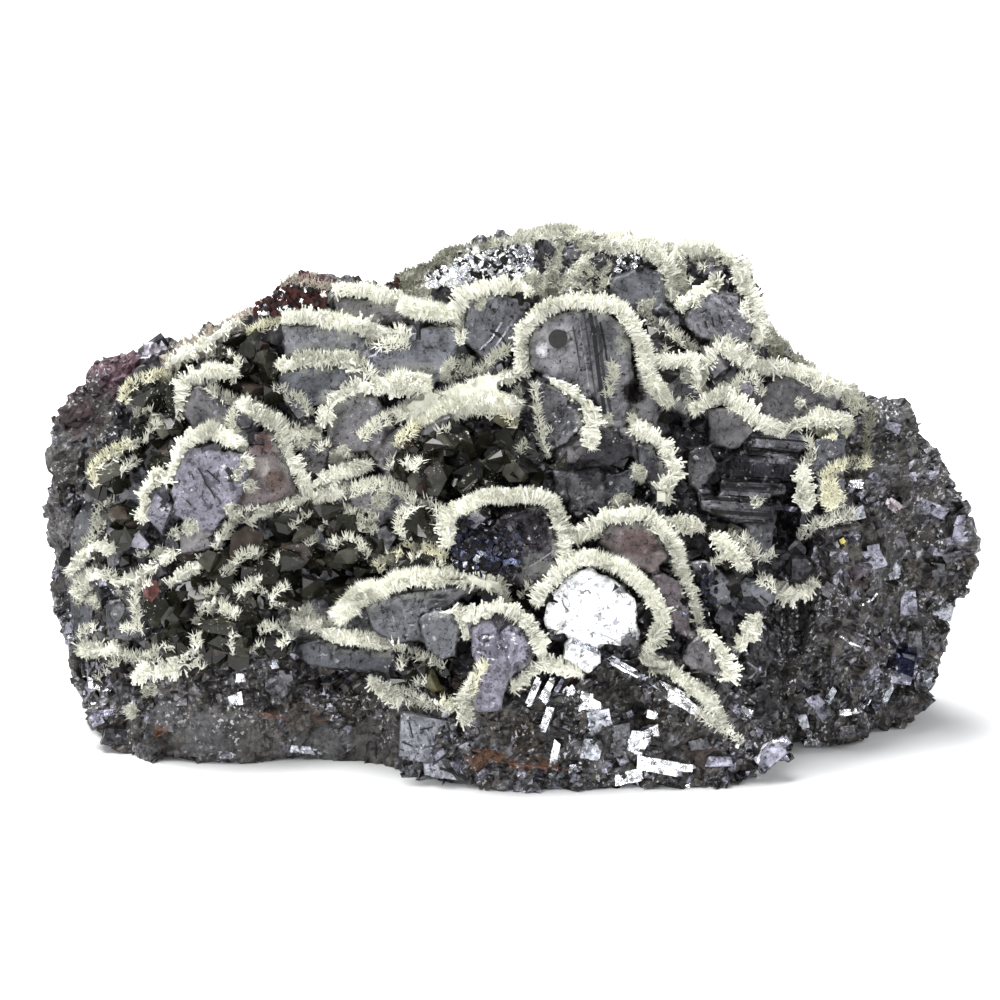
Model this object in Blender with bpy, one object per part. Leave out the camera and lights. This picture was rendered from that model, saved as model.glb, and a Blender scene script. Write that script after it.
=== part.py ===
"""A galena specimen: broken ore, a druse of blocky galena, dark sphalerite and calcite fringes.

Units are metres and +Z is up. The crystal-covered front faces -Y, the broken underside rests on Z = 0,
and the origin is under the middle of the specimen. Outlines are written as (column, row) pixels of a
1000 x 1000 photograph taken from in front and a little above. A sight line through each pixel carries
it onto the specimen, at the real size that SPECIMEN_WIDTH sets.
"""

import math
import random
from collections import namedtuple

import bmesh
import bpy
import numpy as np
from mathutils import Matrix, Vector
from mathutils.bvhtree import BVHTree

# Driving dimensions
SPECIMEN_WIDTH = 0.160
COLUMNS_ACROSS = 918
PIXEL = SPECIMEN_WIDTH / COLUMNS_ACROSS
MM = 0.001
GAP = 0.5 * MM

# The viewpoint that the outlines were drawn from
FRAME_CENTRE = (500, 500)
MIDDLE_COLUMN = 512
VIEW_DISTANCE = 1.5
VIEW_ELEVATION = math.radians(15)
VIEW_TARGET = Vector(((FRAME_CENTRE[0] - MIDDLE_COLUMN) * PIXEL, 0, 0.0418))
VIEW_AWAY = Vector((0, math.cos(VIEW_ELEVATION), -math.sin(VIEW_ELEVATION)))
VIEW_UP = Vector((0, math.sin(VIEW_ELEVATION), math.cos(VIEW_ELEVATION)))
VIEWPOINT = VIEW_TARGET - VIEW_AWAY * VIEW_DISTANCE

# Profiles of the ore mass, as (column, row) pixels and (column, millimetre) pairs
CREST_LINE = [
    (50, 452), (56, 420), (62, 405), (72, 394), (100, 372), (126, 360), (150, 350), (185, 341),
    (213, 332), (240, 318), (262, 300), (285, 286), (310, 281), (353, 287), (383, 286), (405, 272),
    (430, 260), (468, 246), (513, 238), (541, 230), (595, 229), (620, 238), (675, 246), (711, 244),
    (736, 266), (755, 296), (768, 340), (801, 360), (838, 388), (853, 402), (885, 404), (900, 405),
    (912, 430), (925, 466), (945, 487), (960, 502), (970, 540),
]
WALL_LINE = [
    (50, 520), (72, 650), (136, 676), (198, 656), (290, 655), (350, 668), (392, 704), (470, 716),
    (510, 695), (560, 674), (640, 665), (700, 694), (760, 716), (790, 720), (800, 640), (850, 560),
    (900, 545), (970, 550),
]
FLOOR_LINE = [
    (50, 585), (60, 612), (70, 650), (74, 680), (85, 722), (100, 744), (133, 755), (170, 764),
    (251, 764), (290, 760), (360, 761), (388, 763), (404, 778), (440, 787), (500, 793), (560, 790),
    (640, 788), (700, 788), (740, 789), (765, 776), (786, 758), (796, 745), (840, 749), (862, 741),
    (890, 729), (905, 727), (918, 712), (930, 684), (941, 645), (950, 613), (962, 580), (970, 555),
]
CREST_DEPTH = [(50, 1), (120, 2), (250, 5), (450, 9), (620, 12), (740, 8), (860, 3), (970, 2)]
BACK_DEPTH = [
    (50, 9), (75, 22), (140, 33), (260, 40), (430, 45), (640, 44), (800, 37), (900, 27), (970, 9),
]
WALL_LEAN = [(50, 1), (150, 2), (400, 3), (560, 5), (780, 5), (800, -3), (860, -5), (930, -3), (970, 1)]
RING_COLUMNS = [
    50, 56, 66, 76, 90, 110, 135, 160, 185, 210, 236, 262, 290, 320, 352, 380, 398, 420, 450, 482,
    515, 548, 580, 612, 645, 675, 705, 732, 756, 774, 788, 797, 815, 836, 858, 880, 902, 920, 936,
    952, 963, 970,
]
END_FRONT = 3 * MM
LEAST_SETBACK = 1 * MM
LEAST_BACK = 4 * MM
HEEL = 1.5 * MM
SLOPE_STEPS = 5
BACK_STEPS = 5
FLOOR_STEPS = 3
WALL_BULGE = 0.8 * MM
SLOPE_BULGE = 1.5 * MM
BACK_ROUNDING = (0.8, 0.9)
BACK_FOOT = 0.12
BACK_DROP = 0.12
FRONT_FRACTURE = (1.5 * MM, 11 * MM)
BACK_FRACTURE = (2.2 * MM, 17 * MM)
FRACTURE_FLOOR = 0.5 * MM
FRACTURE_SEED = 11

# The druse covers this part of the front, as a sheet that stands this proud of the ore
DRUSE_EDGE = [
    (74, 640), (66, 600), (62, 560), (74, 520), (84, 470), (112, 420), (118, 382), (150, 356),
    (200, 330), (240, 305), (262, 288), (330, 270), (410, 272), (440, 248), (500, 230), (560, 215),
    (620, 222), (700, 232), (742, 262), (762, 310), (772, 338), (806, 348), (846, 380), (852, 425),
    (845, 495), (820, 512), (805, 540), (816, 575), (800, 594), (765, 612), (745, 640), (752, 668),
    (735, 690), (725, 712), (700, 692), (650, 662), (600, 664), (560, 672), (520, 682), (505, 706),
    (470, 714), (440, 705), (400, 700), (372, 674), (340, 668), (295, 655), (250, 650), (200, 650),
    (140, 672), (100, 654),
]
DRUSE_THICKNESS = 3 * MM
DRUSE_FRONT = -80 * MM
DRUSE_BACK = 14 * MM
LEAST_DRUSE = 400 * MM**3

# A galena crystal: its face's outline, how far the face stands out of the druse in millimetres, how
# many degrees it leans back and turns to the right, and the fringes along its edges, each a width and
# the pixels that its middle passes through.
Crystal = namedtuple("Crystal", "outline lift lean turn fringes")

UPPER_LEFT = [
    Crystal([(192, 387), (205, 388), (226, 411), (228, 423), (195, 428), (182, 412)], 3.5, 14, -8, [
        (14, [(176, 420), (177, 398), (184, 382), (202, 371), (225, 367), (240, 371)]),
    ]),
    Crystal([(230, 410), (250, 409), (256, 425), (248, 440), (232, 438)], 2.5, 16, 6, [
        (13, [(214, 396), (238, 401), (258, 410)]),
    ]),
    Crystal([(336, 296), (402, 303), (406, 320), (368, 326), (338, 318)], 2.5, 12, 4, [
        (19, [(330, 290), (355, 291), (382, 298), (406, 303)]),
    ]),
    Crystal([(285, 326), (322, 326), (356, 332), (368, 345), (366, 360), (320, 358), (286, 357)],
            3.5, 12, 2, [
        (18, [(282, 319), (305, 319), (332, 322), (356, 326), (378, 336), (408, 345)]),
    ]),
    Crystal([(280, 374), (304, 368), (346, 366), (362, 374), (365, 402), (306, 404), (280, 396)],
            4, 13, -4, [
        (19, [(276, 370), (300, 362), (322, 360), (346, 360), (364, 366), (372, 378)]),
    ]),
    Crystal([(331, 410), (344, 399), (372, 396), (387, 420), (376, 449), (346, 452), (330, 436)],
            4.5, 12, -10, [
        (18, [(323, 428), (326, 405), (342, 393), (366, 388)]),
        (22, [(366, 388), (388, 380), (410, 379), (432, 381)]),
    ]),
    Crystal([(408, 328), (455, 329), (457, 350), (446, 375), (430, 381), (372, 378), (370, 358)],
            4, 12, 8, [
        (22, [(400, 303), (416, 309), (434, 315), (456, 316)]),
    ]),
    Crystal([(284, 402), (308, 402), (310, 424), (286, 426)], 2, 18, 0, []),
    Crystal([(378, 428), (396, 428), (400, 460), (390, 476), (377, 464)], 3, 14, 12, []),
    Crystal([(302, 442), (328, 444), (326, 470), (303, 470)], 2, 16, -4, [
        (13, [(280, 430), (300, 435), (326, 442)]),
    ]),
]

UPPER_MIDDLE = [
    Crystal([(468, 300), (500, 297), (524, 302), (521, 340), (492, 366), (464, 340)], 4.5, 13, -14, [
        (15, [(460, 342), (458, 318), (460, 297), (480, 288), (506, 288), (530, 292)]),
    ]),
    Crystal([(536, 238), (552, 237), (553, 270), (537, 272)], 2, 20, -6, []),
    Crystal([(564, 250), (580, 250), (581, 268), (565, 270)], 2, 20, 4, []),
    Crystal([
        (532, 336), (545, 319), (575, 311), (604, 312), (624, 328), (631, 372), (625, 421),
        (602, 426), (590, 396), (546, 377), (532, 364),
    ], 7.5, 14, -6, [
        (16, [(524, 372), (521, 348), (528, 324), (545, 309), (572, 303), (602, 303), (624, 313),
              (639, 335), (643, 362), (654, 385), (672, 406)]),
    ]),
    Crystal([(533, 386), (546, 385), (578, 405), (583, 424), (566, 440), (547, 452), (539, 425)],
            10, 12, -4, [
        (9, [(531, 396), (534, 420), (540, 448)]),
        (12, [(548, 382), (572, 395), (587, 411), (591, 430), (592, 450)]),
    ]),
    Crystal([(612, 290), (616, 278), (640, 270), (662, 273), (664, 307), (650, 312), (622, 305)],
            4, 16, 6, [
        (13, [(600, 246), (628, 240), (652, 246), (667, 262), (671, 284), (672, 302)]),
    ]),
    Crystal([(692, 280), (706, 263), (716, 262), (722, 273), (706, 284)], 3, 20, 14, [
        (13, [(676, 250), (700, 243), (722, 250), (737, 264)]),
    ]),
    Crystal([(686, 320), (700, 300), (716, 292), (735, 295), (749, 305), (752, 322), (744, 345),
             (702, 336)],
            5.5, 16, 12, [
        (14, [(678, 308), (688, 294), (706, 285), (722, 285)]),
        (14, [(736, 266), (748, 284), (757, 304), (763, 322), (758, 343)]),
    ]),
    Crystal([(660, 308), (684, 310), (684, 326), (661, 325)], 3, 18, 0, [
        (13, [(650, 320), (668, 327), (690, 335), (706, 345)]),
    ]),
    Crystal([(652, 374), (690, 372), (700, 386), (697, 401), (685, 420), (674, 398)], 4, 14, 10, [
        (13, [(652, 363), (672, 358), (692, 359), (704, 374), (701, 394)]),
    ]),
    Crystal([(620, 388), (648, 384), (654, 402), (652, 424), (624, 424)], 3.5, 12, 4, []),
    Crystal([(656, 404), (672, 404), (673, 430), (662, 440), (655, 430)], 3, 14, 8, []),
    Crystal([(708, 376), (720, 358), (732, 357), (736, 367), (729, 379), (716, 389)], 3.5, 18, 10, [
        (12, [(702, 382), (706, 358), (720, 345), (740, 347), (756, 360)]),
    ]),
    Crystal([(733, 379), (756, 377), (758, 402), (735, 404)], 3, 16, 6, []),
    Crystal([(769, 385), (782, 378), (834, 390), (835, 412), (800, 421), (780, 426), (757, 417)],
            4.5, 16, 8, [
        (13, [(742, 364), (770, 367), (802, 372), (826, 380), (842, 390)]),
    ]),
]

RIGHT = [
    Crystal([(709, 410), (735, 410), (752, 430), (736, 450), (712, 442)], 3, 16, 4, [
        (15, [(690, 412), (706, 400), (724, 392), (740, 402), (750, 418), (764, 429), (786, 431)]),
    ]),
    Crystal([(690, 452), (708, 448), (714, 468), (702, 490), (690, 482)], 3, 14, 2, []),
    Crystal([(757, 433), (800, 432), (812, 440), (810, 452), (758, 449)], 5.5, 12, 10, [
        (14, [(786, 431), (806, 422), (826, 415), (852, 420)]),
    ]),
    Crystal([(722, 456), (780, 455), (798, 458), (797, 482), (724, 480)], 3, 10, 8, []),
    Crystal([(724, 481), (782, 484), (783, 495), (724, 494)], 5.5, 10, 8, []),
    Crystal([(703, 499), (735, 503), (772, 506), (772, 520), (735, 521), (703, 511)], 5, 10, 6, [
        (7, [(700, 501), (716, 504), (728, 514)]),
    ]),
    Crystal([(742, 519), (775, 519), (769, 548), (756, 552)], 5.5, 10, 6, [
        (8, [(734, 520), (746, 537), (754, 552)]),
    ]),
    Crystal([(818, 441), (844, 440), (845, 462), (820, 463)], 4, 14, 14, [
        (12, [(811, 444), (811, 462)]),
    ]),
    Crystal([(811, 465), (842, 466), (841, 480), (811, 479)], 3, 12, 14, []),
    Crystal([(822, 482), (844, 480), (843, 505), (826, 508), (820, 494)], 3, 12, 14, [
        (11, [(803, 466), (804, 488), (808, 514)]),
    ]),
    Crystal([(772, 560), (777, 549), (797, 548), (803, 562), (809, 576), (800, 587), (784, 586),
             (778, 574)],
            3.5, 12, 10, [
        (12, [(745, 535), (757, 556), (771, 547), (784, 538), (800, 536)]),
        (12, [(757, 578), (771, 584), (786, 597), (802, 592), (818, 582)]),
    ]),
    Crystal([(690, 562), (710, 562), (729, 582), (730, 600), (714, 604), (700, 590)], 3, 12, 0, [
        (11, [(712, 534), (724, 546), (734, 560), (748, 570)]),
    ]),
    Crystal([(731, 588), (746, 579), (771, 584), (774, 600), (760, 611), (736, 610)], 3.5, 12, 6, []),
    Crystal([(716, 616), (728, 614), (735, 626), (733, 640), (722, 638)], 3, 12, 4, [
        (13, [(737, 650), (740, 632), (750, 620), (762, 613)]),
    ]),
    Crystal([(733, 670), (742, 665), (752, 674), (746, 686), (737, 688)], 2.5, 12, 6, []),
]

MIDDLE = [
    Crystal([(556, 446), (595, 430), (632, 432), (634, 456), (604, 468), (560, 470)], 3, 8, 2, []),
    Crystal([(554, 472), (600, 470), (606, 500), (578, 510), (560, 496)], 2.5, 8, -2, []),
    Crystal([(612, 478), (632, 472), (634, 494), (616, 496)], 3, 10, 4, []),
    Crystal([(571, 512), (600, 506), (618, 506), (606, 522), (590, 532), (570, 528)], 3, 10, 0, []),
    Crystal([(638, 447), (652, 446), (664, 458), (668, 472), (664, 487), (654, 492), (644, 474)],
            4.5, 12, 8, [
        (17, [(634, 424), (646, 432), (658, 441), (670, 455), (674, 472), (671, 490), (658, 496)]),
    ]),
    Crystal([
        (456, 556), (462, 544), (492, 529), (506, 514), (536, 507), (547, 517), (556, 548), (556, 574),
        (530, 591), (508, 583), (503, 573), (480, 574), (458, 566),
    ], 6.5, 10, -6, [
        (14, [(447, 548), (447, 526), (456, 507), (474, 500), (498, 497), (522, 493), (542, 494),
              (555, 508), (562, 530), (566, 552), (556, 578), (540, 598)]),
        (9, [(460, 540), (474, 530), (490, 518), (508, 511)]),
    ]),
    Crystal([(453, 528), (461, 513), (476, 508), (487, 511), (484, 521), (468, 532), (457, 538)],
            7.5, 12, -12, []),
    Crystal([(553, 640), (546, 620), (550, 604), (567, 580), (588, 570), (612, 580), (633, 600),
             (638, 641), (630, 648), (602, 642), (580, 636), (567, 643)], 7, 12, 4, [
        (15, [(536, 606), (546, 588), (564, 567), (588, 556), (612, 562), (634, 578), (654, 596),
              (664, 618), (660, 640), (648, 652)]),
    ]),
    Crystal([(636, 600), (650, 606), (656, 616), (654, 628), (642, 640), (638, 632)], 5, 10, 30, []),
    Crystal([(566, 647), (580, 638), (598, 650), (600, 661), (588, 672), (566, 658)], 6, 8, 2, [
        (13, [(510, 688), (528, 672), (546, 660), (566, 668), (584, 674)]),
    ]),
    Crystal([(600, 544), (614, 525), (643, 523), (656, 536), (668, 556), (652, 569), (626, 569),
             (614, 553)],
            5, 12, 8, [
        (15, [(574, 540), (592, 531), (608, 518), (632, 514), (654, 519), (670, 534), (677, 556),
              (688, 582), (697, 606), (698, 624)]),
    ]),
    Crystal([(652, 579), (667, 576), (680, 586), (690, 610), (689, 632), (675, 632), (670, 608)],
            3.5, 10, 14, []),
    Crystal([(691, 645), (700, 638), (713, 650), (722, 671), (714, 675), (696, 668), (684, 660)],
            4, 10, 12, [
        (13, [(699, 632), (713, 644), (724, 660), (731, 682)]),
    ]),
    Crystal([(366, 602), (395, 596), (432, 590), (470, 581), (489, 581), (496, 603), (464, 606),
             (440, 613), (424, 640), (400, 642), (376, 632)], 5.5, 10, 0, [
        (22, [(334, 620), (346, 607), (364, 596), (388, 586), (424, 581), (462, 575), (490, 576),
              (502, 590)]),
    ]),
    Crystal([(420, 620), (436, 613), (450, 614), (458, 630), (455, 655), (440, 656), (425, 645)],
            7, 10, -6, [
        (12, [(432, 610), (450, 607), (463, 617), (466, 640)]),
    ]),
    Crystal([(472, 630), (482, 622), (502, 619), (521, 632), (530, 651), (526, 666), (511, 674),
             (504, 690), (502, 708), (478, 710), (471, 694), (480, 670), (474, 654)], 7, 8, -4, [
        (14, [(467, 620), (480, 611), (496, 610), (516, 617), (532, 632), (545, 650)]),
        (14, [(484, 664), (474, 680), (467, 702), (464, 724)]),
    ]),
    Crystal([(300, 646), (322, 640), (345, 652), (384, 650), (395, 661), (380, 672), (345, 669),
             (308, 666)],
            3, 10, 0, [
        (15, [(322, 634), (346, 638), (372, 642), (396, 648), (418, 650), (436, 656)]),
    ]),
    Crystal([(392, 668), (408, 666), (424, 672), (414, 680), (398, 678)], 4, 10, 0, [
        (10, [(368, 677), (384, 680), (388, 694), (400, 706)]),
        (11, [(424, 697), (444, 700), (462, 708)]),
    ]),
]

LEFT = [
    Crystal([(184, 458), (190, 449), (214, 452), (240, 455), (245, 475), (235, 500), (214, 525),
             (195, 527), (180, 515), (172, 500), (175, 480)], 5.5, 12, -12, [
        (18, [(182, 446), (190, 433), (206, 428), (224, 433), (240, 446)]),
        (11, [(182, 446), (176, 466), (168, 488)]),
    ]),
    Crystal([(155, 487), (170, 496), (175, 510), (168, 530), (153, 528), (146, 514)], 3.5, 12, -18, [
        (12, [(163, 468), (150, 480), (144, 500), (144, 520)]),
    ]),
    Crystal([(132, 533), (146, 532), (150, 542), (142, 552), (131, 548)], 2.5, 12, -14, []),
    Crystal([(254, 438), (274, 433), (283, 460), (297, 494), (270, 500), (250, 510), (228, 520),
             (240, 492), (250, 462)], 4, 12, 16, [
        (14, [(240, 402), (256, 405), (270, 416), (281, 440), (290, 466), (300, 480), (312, 490)]),
    ]),
    Crystal([(352, 486), (380, 483), (410, 490), (405, 517), (370, 520), (352, 506)], 3.5, 12, 0, [
        (13, [(318, 479), (346, 471), (374, 463)]),
        (12, [(242, 523), (262, 508), (290, 507), (318, 499), (345, 490)]),
    ]),
    Crystal([(371, 532), (384, 530), (395, 544), (386, 555), (372, 552)], 3.5, 12, 4, []),
    Crystal([(180, 532), (218, 528), (222, 546), (184, 552)], 3, 14, -6, []),
    Crystal([(106, 602), (136, 600), (140, 630), (126, 640), (108, 634)], 2.5, 12, -10, []),
    Crystal([(146, 584), (160, 583), (163, 606), (150, 620), (144, 604)], 3.5, 12, -8, [
        (9, [(137, 600), (138, 626)]),
    ]),
]

# Fringes along ledges that carry no crystal of their own
LEDGE_FRINGES = [
    (9, [(165, 366), (186, 354), (204, 346), (220, 334), (240, 320)]),
    (8, [(252, 306), (268, 293), (292, 281), (326, 287)]),
    (13, [(112, 410), (126, 402), (140, 383), (156, 376), (172, 380)]),
    (15, [(362, 440), (380, 425), (402, 412), (440, 398), (476, 384), (528, 373)]),
    (24, [(404, 444), (420, 424), (446, 412), (474, 400), (502, 400), (522, 410)]),
    (10, [(505, 436), (522, 440), (536, 456), (548, 456)]),
    (12, [(610, 364), (614, 384), (618, 412), (634, 420)]),
    (12, [(664, 520), (684, 526), (706, 528)]),
    (10, [(846, 434), (852, 452), (870, 466)]),
    (12, [(800, 530), (818, 516), (844, 509)]),
    (12, [(66, 574), (84, 554), (104, 546), (116, 545)]),
    (12, [(74, 596), (90, 580), (106, 573)]),
    (13, [(112, 582), (140, 582), (152, 570), (166, 555), (178, 548)]),
    (13, [(168, 586), (188, 573), (208, 557), (226, 548)]),
    (12, [(196, 622), (208, 610), (232, 604)]),
    (13, [(80, 645), (106, 650), (134, 645), (150, 652)]),
    (14, [(136, 676), (152, 667), (184, 663), (196, 652), (199, 634)]),
    (9, [(240, 598), (250, 588), (264, 578)]),
    (10, [(255, 628), (270, 622), (284, 629)]),
    (21, [(290, 622), (306, 618), (322, 626)]),
    (11, [(323, 552), (334, 541), (350, 538), (364, 550)]),
    (12, [(397, 520), (400, 540), (398, 556)]),
    (11, [(400, 512), (420, 503), (438, 508), (448, 528), (450, 548)]),
    (11, [(392, 562), (404, 552), (424, 549), (442, 556)]),
    (16, [(640, 655), (662, 662), (684, 676), (706, 694), (720, 712), (725, 728)]),
    (9, [(92, 472), (104, 456), (128, 448)]),
]

# A sphalerite cluster: its outline, the size of its crystals in millimetres and how far they stand out
Cluster = namedtuple("Cluster", "outline size lift")

CLUSTERS = [
    Cluster([(126, 388), (150, 380), (174, 384), (178, 408), (150, 414), (128, 408)], 4.2, 2),
    Cluster([(130, 420), (174, 420), (180, 470), (150, 476), (133, 468)], 4.2, 2),
    Cluster([(220, 340), (286, 336), (282, 400), (244, 400), (222, 366)], 4.4, 2),
    Cluster([(404, 436), (440, 424), (476, 442), (524, 438), (548, 480), (520, 492), (450, 504),
             (402, 472)],
            5.2, 2.5),
    Cluster([(94, 460), (130, 458), (130, 492), (94, 492)], 4.6, 2),
    Cluster([(112, 504), (138, 504), (138, 542), (114, 542)], 4.6, 2),
    Cluster([(176, 596), (206, 566), (236, 544), (268, 526), (300, 510), (340, 512), (388, 520),
             (384, 560), (366, 592), (330, 612), (290, 606), (262, 612), (252, 640), (212, 650),
             (166, 652)], 5.0, 2.2),
    Cluster([(398, 556), (442, 556), (442, 578), (400, 580)], 4.8, 3),
    Cluster([(405, 508), (446, 510), (446, 548), (408, 548)], 5.2, 2.5),
    Cluster([(256, 630), (290, 630), (290, 656), (260, 658)], 5.4, 2.5),
    Cluster([(386, 656), (430, 658), (468, 670), (464, 696), (430, 694), (390, 696)], 4.2, 2.5),
    Cluster([(74, 600), (100, 598), (100, 640), (78, 640)], 4.0, 2),
    Cluster([(78, 656), (134, 656), (132, 688), (84, 692)], 4.2, 2),
    Cluster([(702, 526), (746, 530), (756, 580), (734, 576), (714, 552)], 4.2, 2),
    Cluster([(506, 582), (534, 592), (530, 616), (510, 612)], 4.8, 2.5),
    Cluster([(650, 340), (678, 341), (678, 359), (651, 358)], 3.8, 2),
]

# Blocks of broken ore, standing out where the druse doesn't reach: pixel, size in millimetres
FRONT_BLOCKS = [
    ((432, 748), 15), ((548, 694), 10), ((600, 716), 12), ((655, 692), 10), ((650, 748), 11),
    ((700, 728), 12), ((752, 744), 14), ((530, 752), 11), ((108, 712), 11), ((236, 704), 11),
    ((300, 690), 10), ((330, 725), 10), ((170, 735), 12), ((832, 722), 14), ((880, 690), 12),
    ((905, 650), 13), ((840, 650), 13), ((800, 690), 11), ((925, 590), 13), ((866, 590), 13),
    ((928, 530), 11), ((886, 520), 11), ((905, 470), 10), ((880, 428), 9), ((84, 440), 10),
    ((96, 408), 9), ((76, 520), 8), ((98, 690), 10),
]
BLOCK_SIDES = (0.6, 1.0)
BLOCK_SINK = 0.4
BLOCK_SEED = 6
BACK_BLOCKS = 16
BACK_BLOCK_SIZES = (12 * MM, 22 * MM)
BACK_TILT = 0.4
BACK_SINK = 0.36
BACK_HALF_WIDTH = 62 * MM
BACK_HEIGHTS = (10 * MM, 50 * MM)
BACKWARD = 0.35
AIM_LOW = (-72 * MM, 0, 12 * MM)
AIM_HIGH = (72 * MM, 30 * MM, 90 * MM)
AIM_DISTANCE = 200 * MM
AIM_RISE = (-100 * MM, 200 * MM)
CRACK = [(752, 668), (768, 696), (779, 718), (793, 738)]
CRACK_WIDTH = 1.1 * MM
CRACK_DEPTH = 9 * MM
CRACK_OVERLAP = 1.15

# How the crystals, fringes and sphalerite are shaped from their outlines and paths
CRYSTAL_DEPTH = 16 * MM
CHAMFER = 0.7 * MM
OUTLINE_REACH = 0.7 * MM
CORNER_GROWTH = 1.3
EDGE_GROWTH = 1.5
FRINGE_SINK = 0.35
FRINGE_REACH = 1.25
FRINGE_DEPTH = 3.0
FRINGE_TAPER = 0.7
FRINGE_STEP = 6.5 * MM
CURVE_STEPS = 8
WELD = 1e-6
SPHALERITE_SIDES = (3, 4, 4)
SPHALERITE_BASE = 0.72
SPHALERITE_TOP = (0.2, 0.42)
SPHALERITE_HEIGHT = 0.95
SPHALERITE_TILT = 0.7
SPHALERITE_SIZES = (0.8, 1.2)
SPHALERITE_LIFT = (0.2, 1.0)
SPHALERITE_SEED = 23
CLUSTER_STEP = 0.78
CLUSTER_JITTER = 0.3

# What is kept: the share of the facets, and how many pieces of each mineral, largest first
ORE_SHARE = 0.55
DRUSE_SHARE = 0.62
CLUSTER_SHARE = 0.75
FRINGE_SHARE = 0.55
SHARE_STEP = 0.1
CLUSTER_PIECES = 15
FRINGE_PIECES = 43
LEAST_CHIP = 12 * MM**3


def along(profile, column):
    """Value at a column of a profile made of (column, value) pairs."""
    columns, values = zip(*profile)
    return float(np.interp(column, columns, values))


def pixel_of(point):
    """The pixel that a point is seen at."""
    offset = point - VIEWPOINT
    offset = offset * (VIEW_DISTANCE / offset.dot(VIEW_AWAY)) - VIEW_AWAY * VIEW_DISTANCE
    return FRAME_CENTRE[0] + offset.x / PIXEL, FRAME_CENTRE[1] - offset.dot(VIEW_UP) / PIXEL


def sight(pixel):
    """Direction of the sight line through a pixel, from the viewpoint."""
    across = (pixel[0] - FRAME_CENTRE[0]) * PIXEL
    down = (pixel[1] - FRAME_CENTRE[1]) * PIXEL
    return (VIEW_TARGET + Vector((across, 0, 0)) - VIEW_UP * down - VIEWPOINT).normalized()


def on_plane(pixel, point, normal):
    """Where the sight line through a pixel meets a plane."""
    direction = sight(pixel)
    return VIEWPOINT + direction * ((point - VIEWPOINT).dot(normal) / direction.dot(normal))


def at_depth(pixel, y):
    """Where the sight line through a pixel meets the upright plane at depth y."""
    return on_plane(pixel, Vector((0, y, 0)), Vector((0, 1, 0)))


def on_floor(pixel):
    """Where the sight line through a pixel meets the floor."""
    return on_plane(pixel, Vector(), Vector((0, 0, 1)))


def new_object(name, mesh, collection, material=None):
    """An object of a mesh, in a collection, with its material."""
    thing = bpy.data.objects.new(name, mesh)
    collection.objects.link(thing)
    if material:
        mesh.materials.clear()
        mesh.materials.append(material)
    return thing


def mesh_of(name, bm):
    """A mesh made of a bmesh, which is freed."""
    bmesh.ops.recalc_face_normals(bm, faces=bm.faces)
    mesh = bpy.data.meshes.new(name)
    bm.to_mesh(mesh)
    bm.free()
    return mesh


def ore_ring(column):
    """The ore mass's section at a column: up the wall and the slope, over the crest, down the back."""
    floor_pixel = (column, along(FLOOR_LINE, column))
    front_y = min(on_floor(floor_pixel).y, END_FRONT)
    foot = at_depth(floor_pixel, front_y)
    crest_y = along(CREST_DEPTH, column) * MM
    crest = at_depth((column, along(CREST_LINE, column)), crest_y)
    wall_y = min(front_y + along(WALL_LEAN, column) * MM, crest_y - LEAST_SETBACK)
    wall = at_depth((column, along(WALL_LINE, column)), wall_y)
    back_y = max(along(BACK_DEPTH, column) * MM, crest_y + LEAST_BACK)
    height = crest.z - foot.z
    ring = [foot, foot.lerp(wall, 0.5) + Vector((0, -WALL_BULGE, 0)), wall]
    for step in range(1, SLOPE_STEPS + 1):
        share = step / (SLOPE_STEPS + 1)
        bulge = SLOPE_BULGE * math.sin(math.pi * share)
        ring.append(wall.lerp(crest, share) + Vector((0, -bulge, bulge * 0.5)))
    ring.append(crest)
    for step in range(1, BACK_STEPS + 1):
        angle = 0.5 * math.pi * step / (BACK_STEPS + 1)
        y = crest_y + (back_y - crest_y) * math.sin(angle) ** BACK_ROUNDING[0]
        z = foot.z + height * (BACK_FOOT + (1 - BACK_FOOT) * math.cos(angle) ** BACK_ROUNDING[1])
        ring.append(Vector((crest.x, y, z - BACK_DROP * (y - crest_y))))
    ring.append(Vector((crest.x, back_y - HEEL, foot.z)))
    for step in range(1, FLOOR_STEPS):
        share = step / FLOOR_STEPS
        ring.append(Vector((crest.x, back_y - HEEL + (foot.y - back_y) * share, foot.z)))
    return ring


def fracture(vertices, size_and_cell, rng):
    """Breaks a surface into tilted facets of about the cell size: each vertex goes to its cell's plane."""
    size, width = size_and_cell
    low = Vector([min(v.co[i] for v in vertices) for i in range(3)])
    high = Vector([max(v.co[i] for v in vertices) for i in range(3)])
    count = int((high - low).x * (high - low).y * (high - low).z / width**3)
    cells = []
    for _ in range(count):
        centre = Vector([rng.uniform(low[i], high[i]) for i in range(3)])
        slant = Vector([rng.uniform(-1, 1) for _ in range(3)]).normalized()
        cells.append((centre, slant))
    for vertex in vertices:
        centre, slant = min(cells, key=lambda cell: (cell[0] - vertex.co).length_squared)
        share = max(-1, min(1, (vertex.co - centre).dot(slant) / (0.5 * width)))
        vertex.co += vertex.normal * size * share


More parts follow.
